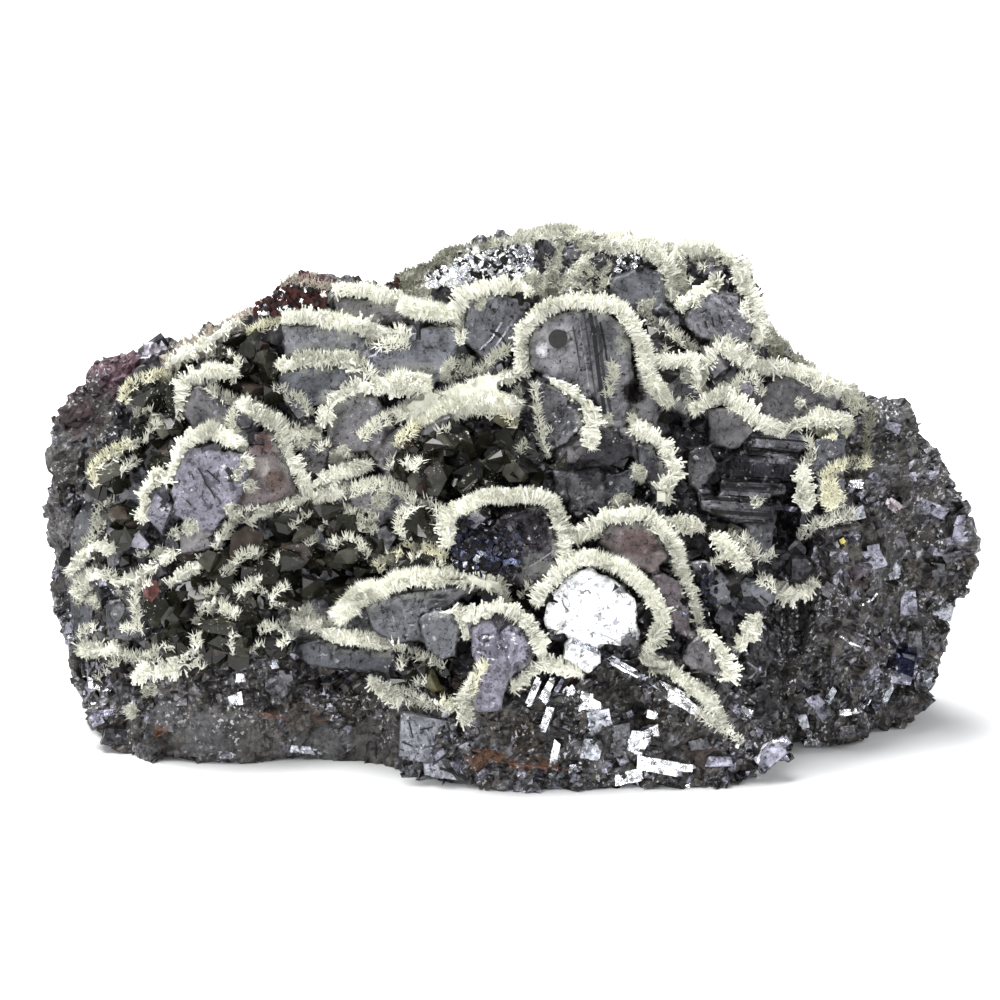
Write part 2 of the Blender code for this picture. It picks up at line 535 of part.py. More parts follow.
def ore_body(grow=0.0):
    """The loft through all the rings, fractured, and moved out along its normals by grow."""
    bm = bmesh.new()
    rings = [[bm.verts.new(point) for point in ore_ring(column)] for column in RING_COLUMNS]
    for ring, after in zip(rings, rings[1:]):
        for i in range(len(ring)):
            j = (i + 1) % len(ring)
            bm.faces.new((ring[i], ring[j], after[j], after[i]))
    bm.faces.new(rings[0])
    bm.faces.new(rings[-1])
    bmesh.ops.recalc_face_normals(bm, faces=bm.faces)
    bm.normal_update()
    broken = [vertex for vertex in bm.verts if vertex.co.z > FRACTURE_FLOOR]
    behind = [vertex for vertex in broken if vertex.normal.y > BACKWARD]
    front = [
        vertex for vertex in broken
        if vertex.normal.y < 0 and not inside(pixel_of(vertex.co), DRUSE_EDGE)
    ]
    fracture(behind, BACK_FRACTURE, random.Random(FRACTURE_SEED))
    fracture(front, FRONT_FRACTURE, random.Random(FRACTURE_SEED))
    for vertex in bm.verts:
        vertex.co.z = max(vertex.co.z, 0)
    bmesh.ops.triangulate(bm, faces=bm.faces)
    bm.normal_update()
    if grow:
        for vertex in bm.verts:
            vertex.co += vertex.normal * grow
    return bm


def add_block(bm, place, size, rng, grow):
    """Adds a cleavage block of broken ore: a box with unlike sides."""
    sides = [size * rng.uniform(*BLOCK_SIDES) + 2 * grow for _ in range(3)]
    bmesh.ops.create_cube(bm, size=1.0, matrix=place @ Matrix.Diagonal((*sides, 1)))


def ore_blocks(tree, grow=0.0):
    """Cleavage blocks over the broken surfaces: turned anyhow in front, flat against the mass behind."""
    rng = random.Random(BLOCK_SEED)
    bm = bmesh.new()
    for pixel, size in FRONT_BLOCKS:
        hit, normal, _, _ = tree.ray_cast(VIEWPOINT, sight(pixel))
        lean = Matrix.Rotation(rng.uniform(0, math.pi), 4, "X")
        turn = lean @ Matrix.Rotation(rng.uniform(0, math.pi), 4, "Z")
        add_block(bm, Matrix.Translation(hit - normal * size * MM * BLOCK_SINK) @ turn, size * MM, rng, grow)
    placed = 0
    while placed < BACK_BLOCKS:
        aim = Vector([rng.uniform(low, high) for low, high in zip(AIM_LOW, AIM_HIGH)])
        start = aim + Vector((0, AIM_DISTANCE, rng.uniform(*AIM_RISE)))
        hit, normal, _, _ = tree.ray_cast(start, (aim - start).normalized())
        size = rng.uniform(*BACK_BLOCK_SIZES)
        if not hit or normal.y < BACKWARD or abs(hit.x) > BACK_HALF_WIDTH:
            continue
        if BACK_HEIGHTS[0] < hit.z < BACK_HEIGHTS[1]:
            tilt = Vector([rng.uniform(-BACK_TILT, BACK_TILT) for _ in range(3)])
            turn = (normal + tilt).to_track_quat("Z", "Y").to_matrix().to_4x4()
            add_block(bm, Matrix.Translation(hit - normal * size * BACK_SINK) @ turn, size, rng, grow)
            placed += 1
    for vertex in bm.verts:
        vertex.co.z = max(vertex.co.z, -grow)
    return bm


def add_prism(bm, outline, point, normal, grow):
    """Adds a crystal: its outline on the face's plane, drawn back into the druse and mostly chamfered."""
    corners = [on_plane(pixel, point + normal * grow, normal) for pixel in outline]
    middle = sum(corners, Vector()) / len(corners)
    reach = OUTLINE_REACH + grow * CORNER_GROWTH
    corners = [corner + (corner - middle).normalized() * reach for corner in corners]
    part = bmesh.new()
    face = part.faces.new([part.verts.new(corner) for corner in corners])
    part.normal_update()
    if face.normal.dot(normal) < 0:
        bmesh.ops.reverse_faces(part, faces=[face])
    grown = bmesh.ops.extrude_face_region(part, geom=[face])
    front = [item for item in grown["geom"] if isinstance(item, bmesh.types.BMFace)]
    for vertex in face.verts:
        vertex.co -= normal * CRYSTAL_DEPTH
    if len(outline) > 4 and not grow:
        edges = list({edge for item in front for edge in item.edges})
        bmesh.ops.bevel(part, geom=edges, offset=CHAMFER, segments=1, affect="EDGES", clamp_overlap=True)
    bmesh.ops.recalc_face_normals(part, faces=part.faces)
    mesh = bpy.data.meshes.new("crystal")
    part.to_mesh(mesh)
    part.free()
    bm.from_mesh(mesh)
    bpy.data.meshes.remove(mesh)


def face_plane(crystal, tree):
    """A point on a crystal's face and the face's normal."""
    middle = (
        sum(pixel[0] for pixel in crystal.outline) / len(crystal.outline),
        sum(pixel[1] for pixel in crystal.outline) / len(crystal.outline),
    )
    hit, _, _, _ = tree.ray_cast(VIEWPOINT, sight(middle))
    lean, turn = math.radians(crystal.lean), math.radians(crystal.turn)
    normal = Vector((
        math.sin(turn) * math.cos(lean),
        -math.cos(turn) * math.cos(lean),
        math.sin(lean),
    ))
    return hit - sight(middle) * crystal.lift * MM, normal


def crystal_blocks(tree, grow=0.0):
    """All the galena crystals, each standing on the druse."""
    bm = bmesh.new()
    for crystal in UPPER_LEFT + UPPER_MIDDLE + RIGHT + MIDDLE + LEFT:
        point, normal = face_plane(crystal, tree)
        add_prism(bm, crystal.outline, point, normal, grow)
    return bm


def smooth_path(points, spacing):
    """Points at even spacing along a smooth curve through the given ones."""
    ends = [points[0] * 2 - points[1]] + points + [points[-1] * 2 - points[-2]]
    dense = []
    for a, b, c, d in zip(ends, ends[1:], ends[2:], ends[3:]):
        for step in range(CURVE_STEPS):
            t = step / CURVE_STEPS
            square = 2 * a - 5 * b + 4 * c - d
            cube = 3 * b - a - 3 * c + d
            dense.append(0.5 * (2 * b + (c - a) * t + square * t**2 + cube * t**3))
    dense.append(points[-1])
    lengths = [0.0]
    for start, end in zip(dense, dense[1:]):
        lengths.append(lengths[-1] + (end - start).length)
    count = max(2, round(lengths[-1] / spacing) + 1)
    even = np.linspace(0, lengths[-1], count)
    axes = [np.interp(even, lengths, [point[i] for point in dense]) for i in range(3)]
    return [Vector(values) for values in zip(*axes)]


def add_tube(bm, points, radius, collection, normal=None):
    """Adds a fringe: a tube with closed ends along a path, drawn out backwards where it has a normal."""
    curve = bpy.data.curves.new("fringe", "CURVE")
    curve.dimensions = "3D"
    curve.bevel_depth = radius
    curve.bevel_resolution = 1
    curve.use_fill_caps = True
    spline = curve.splines.new("POLY")
    spline.points.add(len(points) - 1)
    for i, point in enumerate(points):
        spline.points[i].co = (*point, 1)
        spline.points[i].radius = FRINGE_TAPER if i in (0, len(points) - 1) else 1.0
    thing = new_object("fringe", curve, collection)
    mesh = evaluated_mesh(thing)
    bpy.data.objects.remove(thing)
    part = bmesh.new()
    part.from_mesh(mesh)
    bmesh.ops.remove_doubles(part, verts=part.verts, dist=WELD)
    bmesh.ops.recalc_face_normals(part, faces=part.faces)
    if normal:
        for vertex in part.verts:
            ahead = (vertex.co - points[0]).dot(normal)
            if ahead < 0:
                vertex.co += normal * ahead * (FRINGE_DEPTH - 1)
    part.to_mesh(mesh)
    part.free()
    bm.from_mesh(mesh)
    bpy.data.meshes.remove(mesh)


def fringe_tubes(druse_tree, surface_tree, collection):
    """All the fringes: those along crystals lie behind the faces' edges, the others on the ledges."""
    bm = bmesh.new()
    for crystal in UPPER_LEFT + UPPER_MIDDLE + RIGHT + MIDDLE + LEFT:
        point, normal = face_plane(crystal, druse_tree)
        for width, pixels in crystal.fringes:
            radius = 0.5 * width * PIXEL * FRINGE_REACH
            behind = point - normal * radius * FRINGE_SINK
            path = [on_plane(pixel, behind, normal) for pixel in pixels]
            add_tube(bm, smooth_path(path, FRINGE_STEP), radius, collection, normal)
    for width, pixels in LEDGE_FRINGES:
        radius = 0.5 * width * PIXEL * FRINGE_REACH
        path = []
        for pixel in pixels:
            hit, _, _, _ = surface_tree.ray_cast(VIEWPOINT, sight(pixel))
            if not hit:
                hit = at_depth(pixel, along(CREST_DEPTH, pixel[0]) * MM)
            path.append(hit - sight(pixel) * radius * FRINGE_SINK)
        add_tube(bm, smooth_path(path, FRINGE_STEP), radius, collection)
    return bm


def inside(pixel, outline):
    """Whether a pixel lies inside an outline."""
    crossings = 0
    for (u0, v0), (u1, v1) in zip(outline, outline[1:] + outline[:1]):
        if (v0 > pixel[1]) != (v1 > pixel[1]) and pixel[0] < u0 + (pixel[1] - v0) * (u1 - u0) / (v1 - v0):
            crossings += 1
    return crossings % 2 == 1


def add_sphalerite(bm, centre, axis, size, rng, grow):
    """Adds one sphalerite crystal: a truncated tetrahedron, its axis roughly out of the druse."""
    tilt = Vector([rng.uniform(-SPHALERITE_TILT, SPHALERITE_TILT) for _ in range(3)])
    upright = (axis + tilt).normalized().to_track_quat("Z", "Y").to_matrix().to_4x4()
    turn = upright @ Matrix.Rotation(rng.uniform(0, math.tau), 4, "Z")
    bmesh.ops.create_cone(
        bm, cap_ends=True, cap_tris=False, segments=rng.choice(SPHALERITE_SIDES),
        radius1=size * SPHALERITE_BASE + grow, radius2=size * rng.uniform(*SPHALERITE_TOP) + grow,
        depth=size * SPHALERITE_HEIGHT + 2 * grow, matrix=Matrix.Translation(centre) @ turn,
    )


def sphalerite_groups(tree, grow=0.0):
    """All the sphalerite crystals, scattered evenly in their clusters."""
    rng = random.Random(SPHALERITE_SEED)
    bm = bmesh.new()
    for cluster in CLUSTERS:
        size = cluster.size * MM
        step = size / PIXEL * CLUSTER_STEP
        left, right = min(p[0] for p in cluster.outline), max(p[0] for p in cluster.outline)
        top, bottom = min(p[1] for p in cluster.outline), max(p[1] for p in cluster.outline)
        rows = max(1, round((bottom - top) / step))
        columns = max(1, round((right - left) / step))
        for row in range(rows):
            for column in range(columns):
                across = column + 0.5 + rng.uniform(-CLUSTER_JITTER, CLUSTER_JITTER)
                down = row + 0.5 + rng.uniform(-CLUSTER_JITTER, CLUSTER_JITTER)
                pixel = (left + across * (right - left) / columns, top + down * (bottom - top) / rows)
                if not inside(pixel, cluster.outline):
                    continue
                hit, normal, _, _ = tree.ray_cast(VIEWPOINT, sight(pixel))
                if hit:
                    centre = hit - sight(pixel) * cluster.lift * MM * rng.uniform(*SPHALERITE_LIFT)
                    crystal_size = size * rng.uniform(*SPHALERITE_SIZES)
                    add_sphalerite(bm, centre, normal - sight(pixel), crystal_size, rng, grow)
    return bm


def combine(thing, other, operation):
    """Applies a Boolean of another object to a thing."""
    boolean = thing.modifiers.new("join", "BOOLEAN")
    boolean.operation = operation
    boolean.object = other
    boolean.solver = "EXACT"
    boolean.use_self = True
    apply_modifiers(thing)


def evaluated_mesh(thing):
    """A new mesh of a thing with its modifiers."""
    return bpy.data.meshes.new_from_object(thing.evaluated_get(bpy.context.evaluated_depsgraph_get()))


def apply_modifiers(thing):
    """Replaces a thing's mesh by the evaluated one."""
    mesh = evaluated_mesh(thing)
    thing.modifiers.clear()
    old = thing.data
    thing.data = mesh
    bpy.data.meshes.remove(old)


def loose_parts(bm):
    """The separate bodies of a bmesh, as lists of faces, largest first."""
    left = set(bm.faces)
    parts = []
    while left:
        stack = [left.pop()]
        part = []
        while stack:
            face = stack.pop()
            part.append(face)
            for edge in face.edges:
                for other in edge.link_faces:
                    if other in left:
                        left.remove(other)
                        stack.append(other)
        parts.append(part)
    return sorted(parts, key=lambda part: (-len(part), min(face.index for face in part)))


def volume(faces):
    """The volume that a closed set of faces holds."""
    total = 0.0
    for face in faces:
        corners = [vertex.co for vertex in face.verts]
        for second, third in zip(corners[1:], corners[2:]):
            total += corners[0].dot(second.cross(third)) / 6
    return total


def drop_small(thing, least):
    """Deletes the bodies of a thing that hold less than the least volume."""
    bm = bmesh.new()
    bm.from_mesh(thing.data)
    bm.faces.index_update()
    for part in loose_parts(bm):
        if volume(part) < least:
            bmesh.ops.delete(bm, geom=part, context="FACES")
    bm.to_mesh(thing.data)
    bm.free()


def split(thing, collection, material, share, most, neighbours):
    """Makes the largest separate bodies of a thing objects of their own, numbered from left to right."""
    bm = bmesh.new()
    bm.from_mesh(thing.data)
    bm.faces.index_update()
    parts = sorted(loose_parts(bm), key=volume, reverse=True)[:most]
    parts.sort(key=lambda part: min(vertex.co.x for face in part for vertex in face.verts))
    numbers = [{face.index for face in part} for part in parts]
    bm.free()
    for count, kept in enumerate(numbers, 1):
        piece = bmesh.new()
        piece.from_mesh(thing.data)
        others = [face for face in piece.faces if face.index not in kept]
        bmesh.ops.delete(piece, geom=others, context="FACES")
        part = new_object(f"{thing.name}_{count:02d}", mesh_of(thing.name, piece), collection, material)
        delete_fins(part)
        thin_out(part, share, neighbours)
    bpy.data.objects.remove(thing)


def delete_fins(thing):
    """Deletes the flat doubled facets that a cut can leave standing on an edge."""
    bm = bmesh.new()
    bm.from_mesh(thing.data)
    bmesh.ops.triangulate(bm, faces=bm.faces)
    fins = set()
    for edge in bm.edges:
        if len(edge.link_faces) == 4:
            fins.update(sorted(edge.link_faces, key=lambda face: face.calc_area())[:2])
    while fins:
        bmesh.ops.delete(bm, geom=list(fins), context="FACES")
        fins = {face for edge in bm.edges if len(edge.link_faces) == 1 for face in edge.link_faces}
    bm.to_mesh(thing.data)
    bm.free()


def is_sound(mesh, neighbours):
    """Whether every edge of a mesh has two facets, and none of them cross the neighbours' surface."""
    bm = bmesh.new()
    bm.from_mesh(mesh)
    sound = all(len(edge.link_faces) == 2 for edge in bm.edges)
    if sound and neighbours:
        sound = not neighbours.overlap(BVHTree.FromBMesh(bm))
    bm.free()
    return sound


def thin_out(thing, share, neighbours=None):
    """Collapses a thing's flattest facets down to a share of their number, or to as few as stay sound."""
    decimate = thing.modifiers.new("thin out", "DECIMATE")
    decimate.decimate_type = "COLLAPSE"
    decimate.ratio = share
    while decimate.ratio < 1 and not is_sound(evaluated_mesh(thing), neighbours):
        decimate.ratio = min(1, decimate.ratio + SHARE_STEP)
    apply_modifiers(thing)


def surface_of(*things):
    """A tree of the surface of one or more things."""
    bm = bmesh.new()
    for thing in things:
        bm.from_mesh(thing.data)
    tree = BVHTree.FromBMesh(bm)
    bm.free()
    return tree


def material_named(name, colour, roughness, metallic):
    """A plain Principled material."""
    material = bpy.data.materials.new(name)
    material.use_nodes = True
    shader = material.node_tree.nodes["Principled BSDF"]
    shader.inputs["Base Color"].default_value = (*colour, 1)
    shader.inputs["Roughness"].default_value = roughness
    shader.inputs["Metallic"].default_value = metallic
    return material


def new_collection(name, hidden=False):
    """A collection in the scene."""
    collection = bpy.data.collections.new(name)
    collection.hide_render = hidden
    bpy.context.scene.collection.children.link(collection)
    return collection


def hide(thing):
    """Marks a thing as a cutter or guide."""
    thing.hide_render = True
    thing.display_type = "WIRE"


def crack_cutter(tree):
    """A thin crooked blade that opens the crack beside the front wedge."""
    bm = bmesh.new()
    for start, end in zip(CRACK, CRACK[1:]):
        first, _, _, _ = tree.ray_cast(VIEWPOINT, sight(start))
        last, _, _, _ = tree.ray_cast(VIEWPOINT, sight(end))
        run = last - first
        side = run.cross(Vector((0, 1, 0))).normalized()
        inward = side.cross(run).normalized()
        if inward.y < 0:
            inward = -inward
        turn = Matrix((run.normalized(), inward, side)).transposed().to_4x4()
        scale = Matrix.Diagonal((run.length * CRACK_OVERLAP, 2 * CRACK_DEPTH, CRACK_WIDTH, 1))
        place = Matrix.Translation((first + last) / 2)
        bmesh.ops.create_cube(bm, size=1.0, matrix=place @ turn @ scale)
    return bm


def druse_sheet(name, grow, cutters):
    """The druse between the crystals: the ore's form moved towards the viewer, inside its own edge."""
    body = ore_body(grow)
    bmesh.ops.translate(body, verts=body.verts, vec=-VIEW_AWAY * DRUSE_THICKNESS)
    sheet = new_object(name, mesh_of(name, body), cutters)
    window = bmesh.new()
    near = [at_depth(pixel, DRUSE_FRONT) for pixel in DRUSE_EDGE]
    far = [at_depth(pixel, DRUSE_BACK) for pixel in DRUSE_EDGE]
    face = window.faces.new([window.verts.new(point) for point in near])
    grown = bmesh.ops.extrude_face_region(window, geom=[face])
    moved = [item for item in grown["geom"] if isinstance(item, bmesh.types.BMVert)]
    for start, end in zip(near, far):
        vertex = min(moved, key=lambda item: (item.co - start).length_squared)
        vertex.co = end
    bmesh.ops.recalc_face_normals(window, faces=window.faces)
    window.normal_update()
    for vertex in window.verts:
        vertex.co += vertex.normal * grow * EDGE_GROWTH
    bound = new_object(name + " window", mesh_of("window", window), cutters)
    combine(sheet, bound, "INTERSECT")
    bpy.data.objects.remove(bound)
    return sheet


def centre(things):
    """Moves things so that the origin is under the middle of them all."""
    points = [vertex.co for thing in things for vertex in thing.data.vertices]
    middle = Vector([(min(p[i] for p in points) + max(p[i] for p in points)) / 2 for i in (0, 1)] + [0])
    for thing in things:
        thing.data.transform(Matrix.Translation(-middle))


def build():
    """Models the specimen."""
    for thing in list(bpy.data.objects):
        bpy.data.objects.remove(thing)
    parts = new_collection("galena specimen")
    cutters = new_collection("cutters", hidden=True)
    ore_grey = material_named("broken ore", (0.12, 0.12, 0.13), 0.35, 0.7)
    galena_grey = material_named("galena", (0.32, 0.32, 0.36), 0.4, 0.9)
    sphalerite_black = material_named("sphalerite", (0.035, 0.033, 0.026), 0.2, 0.2)
    calcite_cream = material_named("calcite", (0.8, 0.79, 0.68), 0.7, 0.0)

    body_tree = BVHTree.FromBMesh(ore_body())
    ore = new_object("ore_mass", mesh_of("ore_mass", ore_body()), parts, ore_grey)
    blocks = new_object("ore blocks", mesh_of("ore blocks", ore_blocks(body_tree)), cutters)
    combine(ore, blocks, "UNION")
    crack = new_object("crack", mesh_of("crack", crack_cutter(body_tree)), cutters)
    combine(ore, crack, "DIFFERENCE")
    drop_small(ore, LEAST_CHIP)
    thin_out(ore, ORE_SHARE)

    grown_ore = new_object("grown ore", mesh_of("grown", ore_body(GAP)), cutters)
    grown_blocks = new_object("grown blocks", mesh_of("grown", ore_blocks(body_tree, GAP)), cutters)

    druse = druse_sheet("galena_druse", 0.0, cutters)
    druse_tree = surface_of(druse)
    crystals = new_object("crystals", mesh_of("crystals", crystal_blocks(druse_tree)), cutters)
    combine(druse, crystals, "UNION")
    combine(druse, grown_ore, "DIFFERENCE")
    combine(druse, grown_blocks, "DIFFERENCE")
    drop_small(druse, LEAST_DRUSE)
    delete_fins(druse)
    thin_out(druse, DRUSE_SHARE)

    grown_sheet = druse_sheet("grown sheet", GAP, cutters)
    grown_prisms = crystal_blocks(druse_tree, GAP)
    grown_crystals = new_object("grown crystals", mesh_of("grown", grown_prisms), cutters)

    dark = new_object("sphalerite_cluster", mesh_of("sphalerite", sphalerite_groups(druse_tree)), cutters)
    for cutter in (grown_ore, grown_blocks, grown_sheet, grown_crystals):
        combine(dark, cutter, "DIFFERENCE")
    split(dark, parts, sphalerite_black, CLUSTER_SHARE, CLUSTER_PIECES, surface_of(ore, druse))
    grown_groups = sphalerite_groups(druse_tree, GAP)
    grown_dark = new_object("grown sphalerite", mesh_of("grown", grown_groups), cutters)

    cutters.objects.unlink(druse)
    parts.objects.link(druse)
    druse.data.materials.append(galena_grey)
    surface = surface_of(*parts.objects)
    tubes = fringe_tubes(druse_tree, surface, cutters)
    fringes = new_object("calcite_fringe", mesh_of("fringes", tubes), cutters)
    for cutter in (grown_ore, grown_blocks, grown_sheet, grown_crystals, grown_dark):
        combine(fringes, cutter, "DIFFERENCE")
    split(fringes, parts, calcite_cream, FRINGE_SHARE, FRINGE_PIECES, surface)
    centre(parts.objects)
    for thing in cutters.objects:
        hide(thing)


build()
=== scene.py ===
"""Looks of a galena specimen: etched lead-grey crystals with calcite fringes on broken ore.

The solids come from the frame. This script gives each mineral its own surface, its needles and
grains, its materials, and the plain studio it is seen in.
"""

import math
from itertools import product

import bmesh
import bpy
import numpy as np
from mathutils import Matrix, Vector
from mathutils.bvhtree import BVHTree


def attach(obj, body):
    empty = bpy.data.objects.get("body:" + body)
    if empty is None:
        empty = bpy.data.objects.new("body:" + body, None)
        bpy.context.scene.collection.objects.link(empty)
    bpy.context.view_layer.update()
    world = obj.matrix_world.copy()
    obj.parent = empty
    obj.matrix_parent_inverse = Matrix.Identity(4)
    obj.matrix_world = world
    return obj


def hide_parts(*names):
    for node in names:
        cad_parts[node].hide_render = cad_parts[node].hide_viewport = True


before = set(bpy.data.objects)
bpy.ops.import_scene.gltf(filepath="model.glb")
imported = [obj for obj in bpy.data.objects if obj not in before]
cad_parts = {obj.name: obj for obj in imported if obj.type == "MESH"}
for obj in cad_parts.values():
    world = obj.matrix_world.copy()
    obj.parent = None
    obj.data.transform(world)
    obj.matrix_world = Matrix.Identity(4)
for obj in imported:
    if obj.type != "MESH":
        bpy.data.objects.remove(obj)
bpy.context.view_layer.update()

# Size and view

MM = 0.001
SPECIMEN_WIDTH = 0.160
SPECIMEN_PIXELS = 918
PIXEL = SPECIMEN_WIDTH / SPECIMEN_PIXELS
FRAME_CENTRE = 500.0
FRAME_WIDTH = 1000.0
MIDDLE_COLUMN = 512.0
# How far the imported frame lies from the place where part.py builds the specimen
PART_SHIFT = Vector((0.000233, -0.003919, 0.0))
VIEW_DISTANCE = 1.5
VIEW_ELEVATION = math.radians(15.0)
VIEW_HEIGHT = 0.0418
VIEW_TARGET = Vector(((FRAME_CENTRE - MIDDLE_COLUMN) * PIXEL, 0.0, VIEW_HEIGHT)) + PART_SHIFT
VIEW_AWAY = Vector((0.0, math.cos(VIEW_ELEVATION), -math.sin(VIEW_ELEVATION)))
VIEW_RIGHT = Vector((1.0, 0.0, 0.0))
VIEW_UP = Vector((0.0, math.sin(VIEW_ELEVATION), math.cos(VIEW_ELEVATION)))
VIEWPOINT = VIEW_TARGET - VIEW_AWAY * VIEW_DISTANCE
SENSOR = 36.0

# Mineral colours, as linear values

CREAM = (0.93, 0.925, 0.82)
CREAM_GREY = (0.65, 0.65, 0.56)
CREAM_OLIVE = (0.30, 0.30, 0.235)
CREAM_PINK = (0.55, 0.49, 0.42)
CREAM_YELLOW = (0.90, 0.88, 0.70)
LEAD = (0.108, 0.107, 0.115)
LEAD_DARK = (0.045, 0.044, 0.050)
DUSTY = (0.22, 0.225, 0.20)
SILVER = (0.86, 0.86, 0.90)
STEEL = (0.36, 0.37, 0.41)
LILAC = (0.25, 0.245, 0.30)
BROWN = (0.034, 0.025, 0.020)
WALL_BROWN = (0.068, 0.059, 0.052)
WALL_DARK = (0.026, 0.023, 0.021)
WALL_GREY = (0.066, 0.064, 0.066)
BLACK = (0.010, 0.009, 0.009)
OLIVE = (0.010, 0.0096, 0.006)
OLIVE_GREY = (0.050, 0.049, 0.038)
JET = (0.003, 0.003, 0.0025)
RUST = (0.095, 0.042, 0.022)
RED = (0.040, 0.009, 0.008)
RUST_LINE = (0.105, 0.045, 0.024)
# Painted shade: the near-black colour of the strips that stand for grooves
GROOVE_SHADE = (0.012, 0.012, 0.015)
BRASS = (0.62, 0.54, 0.17)
STAINED = (0.17, 0.125, 0.055)

# Detail sizes

ORE_VOXEL = 0.80 * MM
DRUSE_VOXEL = 0.66 * MM
CORE_VOXEL = 0.60 * MM
# The way that the front slope faces
SLOPE_OUT = np.array((0.0, -0.6, 0.8))
# Spots of the photograph: their depth against their width, the least depth, and how soft their edge is
SPOT_DEPTH = 2.2
LEAST_SPOT_DEPTH = 5.0 * MM
SPOT_EDGE = 0.3
SPOT_RAGGEDNESS = 1.3 * MM


def hashed(cells, seed):
    """A fixed number from 0 to 1 for each whole-number cell."""
    mixed = cells[:, 0] * 73856093 ^ cells[:, 1] * 19349663 ^ cells[:, 2] * 83492791
    mixed = (mixed ^ (seed * 2654435761)) & 0xFFFFFFFF
    for _ in range(2):
        mixed = ((mixed ^ (mixed >> 15)) * 0x2C1B3C6D) & 0xFFFFFFFF
        mixed = ((mixed ^ (mixed >> 12)) * 0x297A2D39) & 0xFFFFFFFF
    return (mixed ^ (mixed >> 15)) / 4294967296.0


def smooth_noise(points, size, seed):
    """Soft noise from 0 to 1 with features of the given size."""
    at = points / size
    low = np.floor(at).astype(np.int64)
    part = at - low
    part = part * part * (3.0 - 2.0 * part)
    total = np.zeros(len(points))
    for corner in product((0, 1), repeat=3):
        weight = np.ones(len(points))
        for axis in range(3):
            weight = weight * (part[:, axis] if corner[axis] else 1.0 - part[:, axis])
        total += weight * hashed(low + np.array(corner), seed)
    return total


def nearest_cells(points, size, seed):
    """The scattered grain that each point belongs to: its middle and its whole-number cell."""
    at = points / size
    low = np.floor(at).astype(np.int64)
    best = np.full(len(points), np.inf)
    middle = np.zeros_like(at)
    owner = np.zeros_like(low)
    for step in product((-1, 0, 1), repeat=3):
        cell = low + np.array(step)
        jitter = np.stack([hashed(cell, seed + axis) for axis in range(3)], 1)
        there = cell + jitter
        away = ((at - there) ** 2).sum(1)
        closer = away < best
        best[closer] = away[closer]
        middle[closer] = there[closer]
        owner[closer] = cell[closer]
    return middle * size, owner


def cell_vectors(cells, seed):
    """A fixed vector with parts from -1 to 1 for each cell."""
    return np.stack([hashed(cells, seed + axis) * 2.0 - 1.0 for axis in range(3)], 1)


def unit(vectors):
    return vectors / np.maximum(np.linalg.norm(vectors, axis=1, keepdims=True), 1e-12)


def welded(names):
    """One bmesh of the named solids, with shared corners joined."""
    bm = bmesh.new()
    for name in names:
        bm.from_mesh(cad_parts[name].data)
    bmesh.ops.remove_doubles(bm, verts=bm.verts, dist=1e-7)
    return bm


def arrays_of(mesh):
    """Corners, corner normals and triangles of a mesh."""
    mesh.calc_loop_triangles()
    points = np.empty(len(mesh.vertices) * 3)
    mesh.vertices.foreach_get("co", points)
    normals = np.empty(len(mesh.vertices) * 3)
    mesh.vertices.foreach_get("normal", normals)
    triangles = np.empty(len(mesh.loop_triangles) * 3, np.int64)
    mesh.loop_triangles.foreach_get("vertices", triangles)
    return points.reshape(-1, 3), normals.reshape(-1, 3), triangles.reshape(-1, 3)


def solid_mesh(names):
    """One plain mesh of the named solids."""
    bm = welded(names)
    mesh = bpy.data.meshes.new("solid")
    bm.to_mesh(mesh)
    bm.free()
    return mesh


def solid_arrays(names):
    mesh = solid_mesh(names)
    arrays = arrays_of(mesh)
    bpy.data.meshes.remove(mesh)
    return arrays


def fine_copy(names, voxel):
    """The named solids as one even, fine mesh: its corners, corner normals and triangles."""
    mesh = solid_mesh(names)
    thing = bpy.data.objects.new("fine", mesh)
    bpy.context.scene.collection.objects.link(thing)
    remesh = thing.modifiers.new("Remesh", "REMESH")
    remesh.mode = "VOXEL"
    remesh.voxel_size = voxel
    bpy.context.view_layer.update()
    fine = bpy.data.meshes.new_from_object(thing.evaluated_get(bpy.context.evaluated_depsgraph_get()))
    arrays = arrays_of(fine)
    bpy.data.objects.remove(thing)
    bpy.data.meshes.remove(mesh)
    bpy.data.meshes.remove(fine)
    return arrays


def cross_of(points, triangles):
    """A vector for each triangle along its normal, twice as long as its area."""
    first, second, third = (points[triangles[:, corner]] for corner in range(3))
    return np.cross(second - first, third - first)


def normals_of(points, triangles):
    return unit(cross_of(points, triangles))


def areas_of(points, triangles):
    return np.linalg.norm(cross_of(points, triangles), axis=1) / 2.0


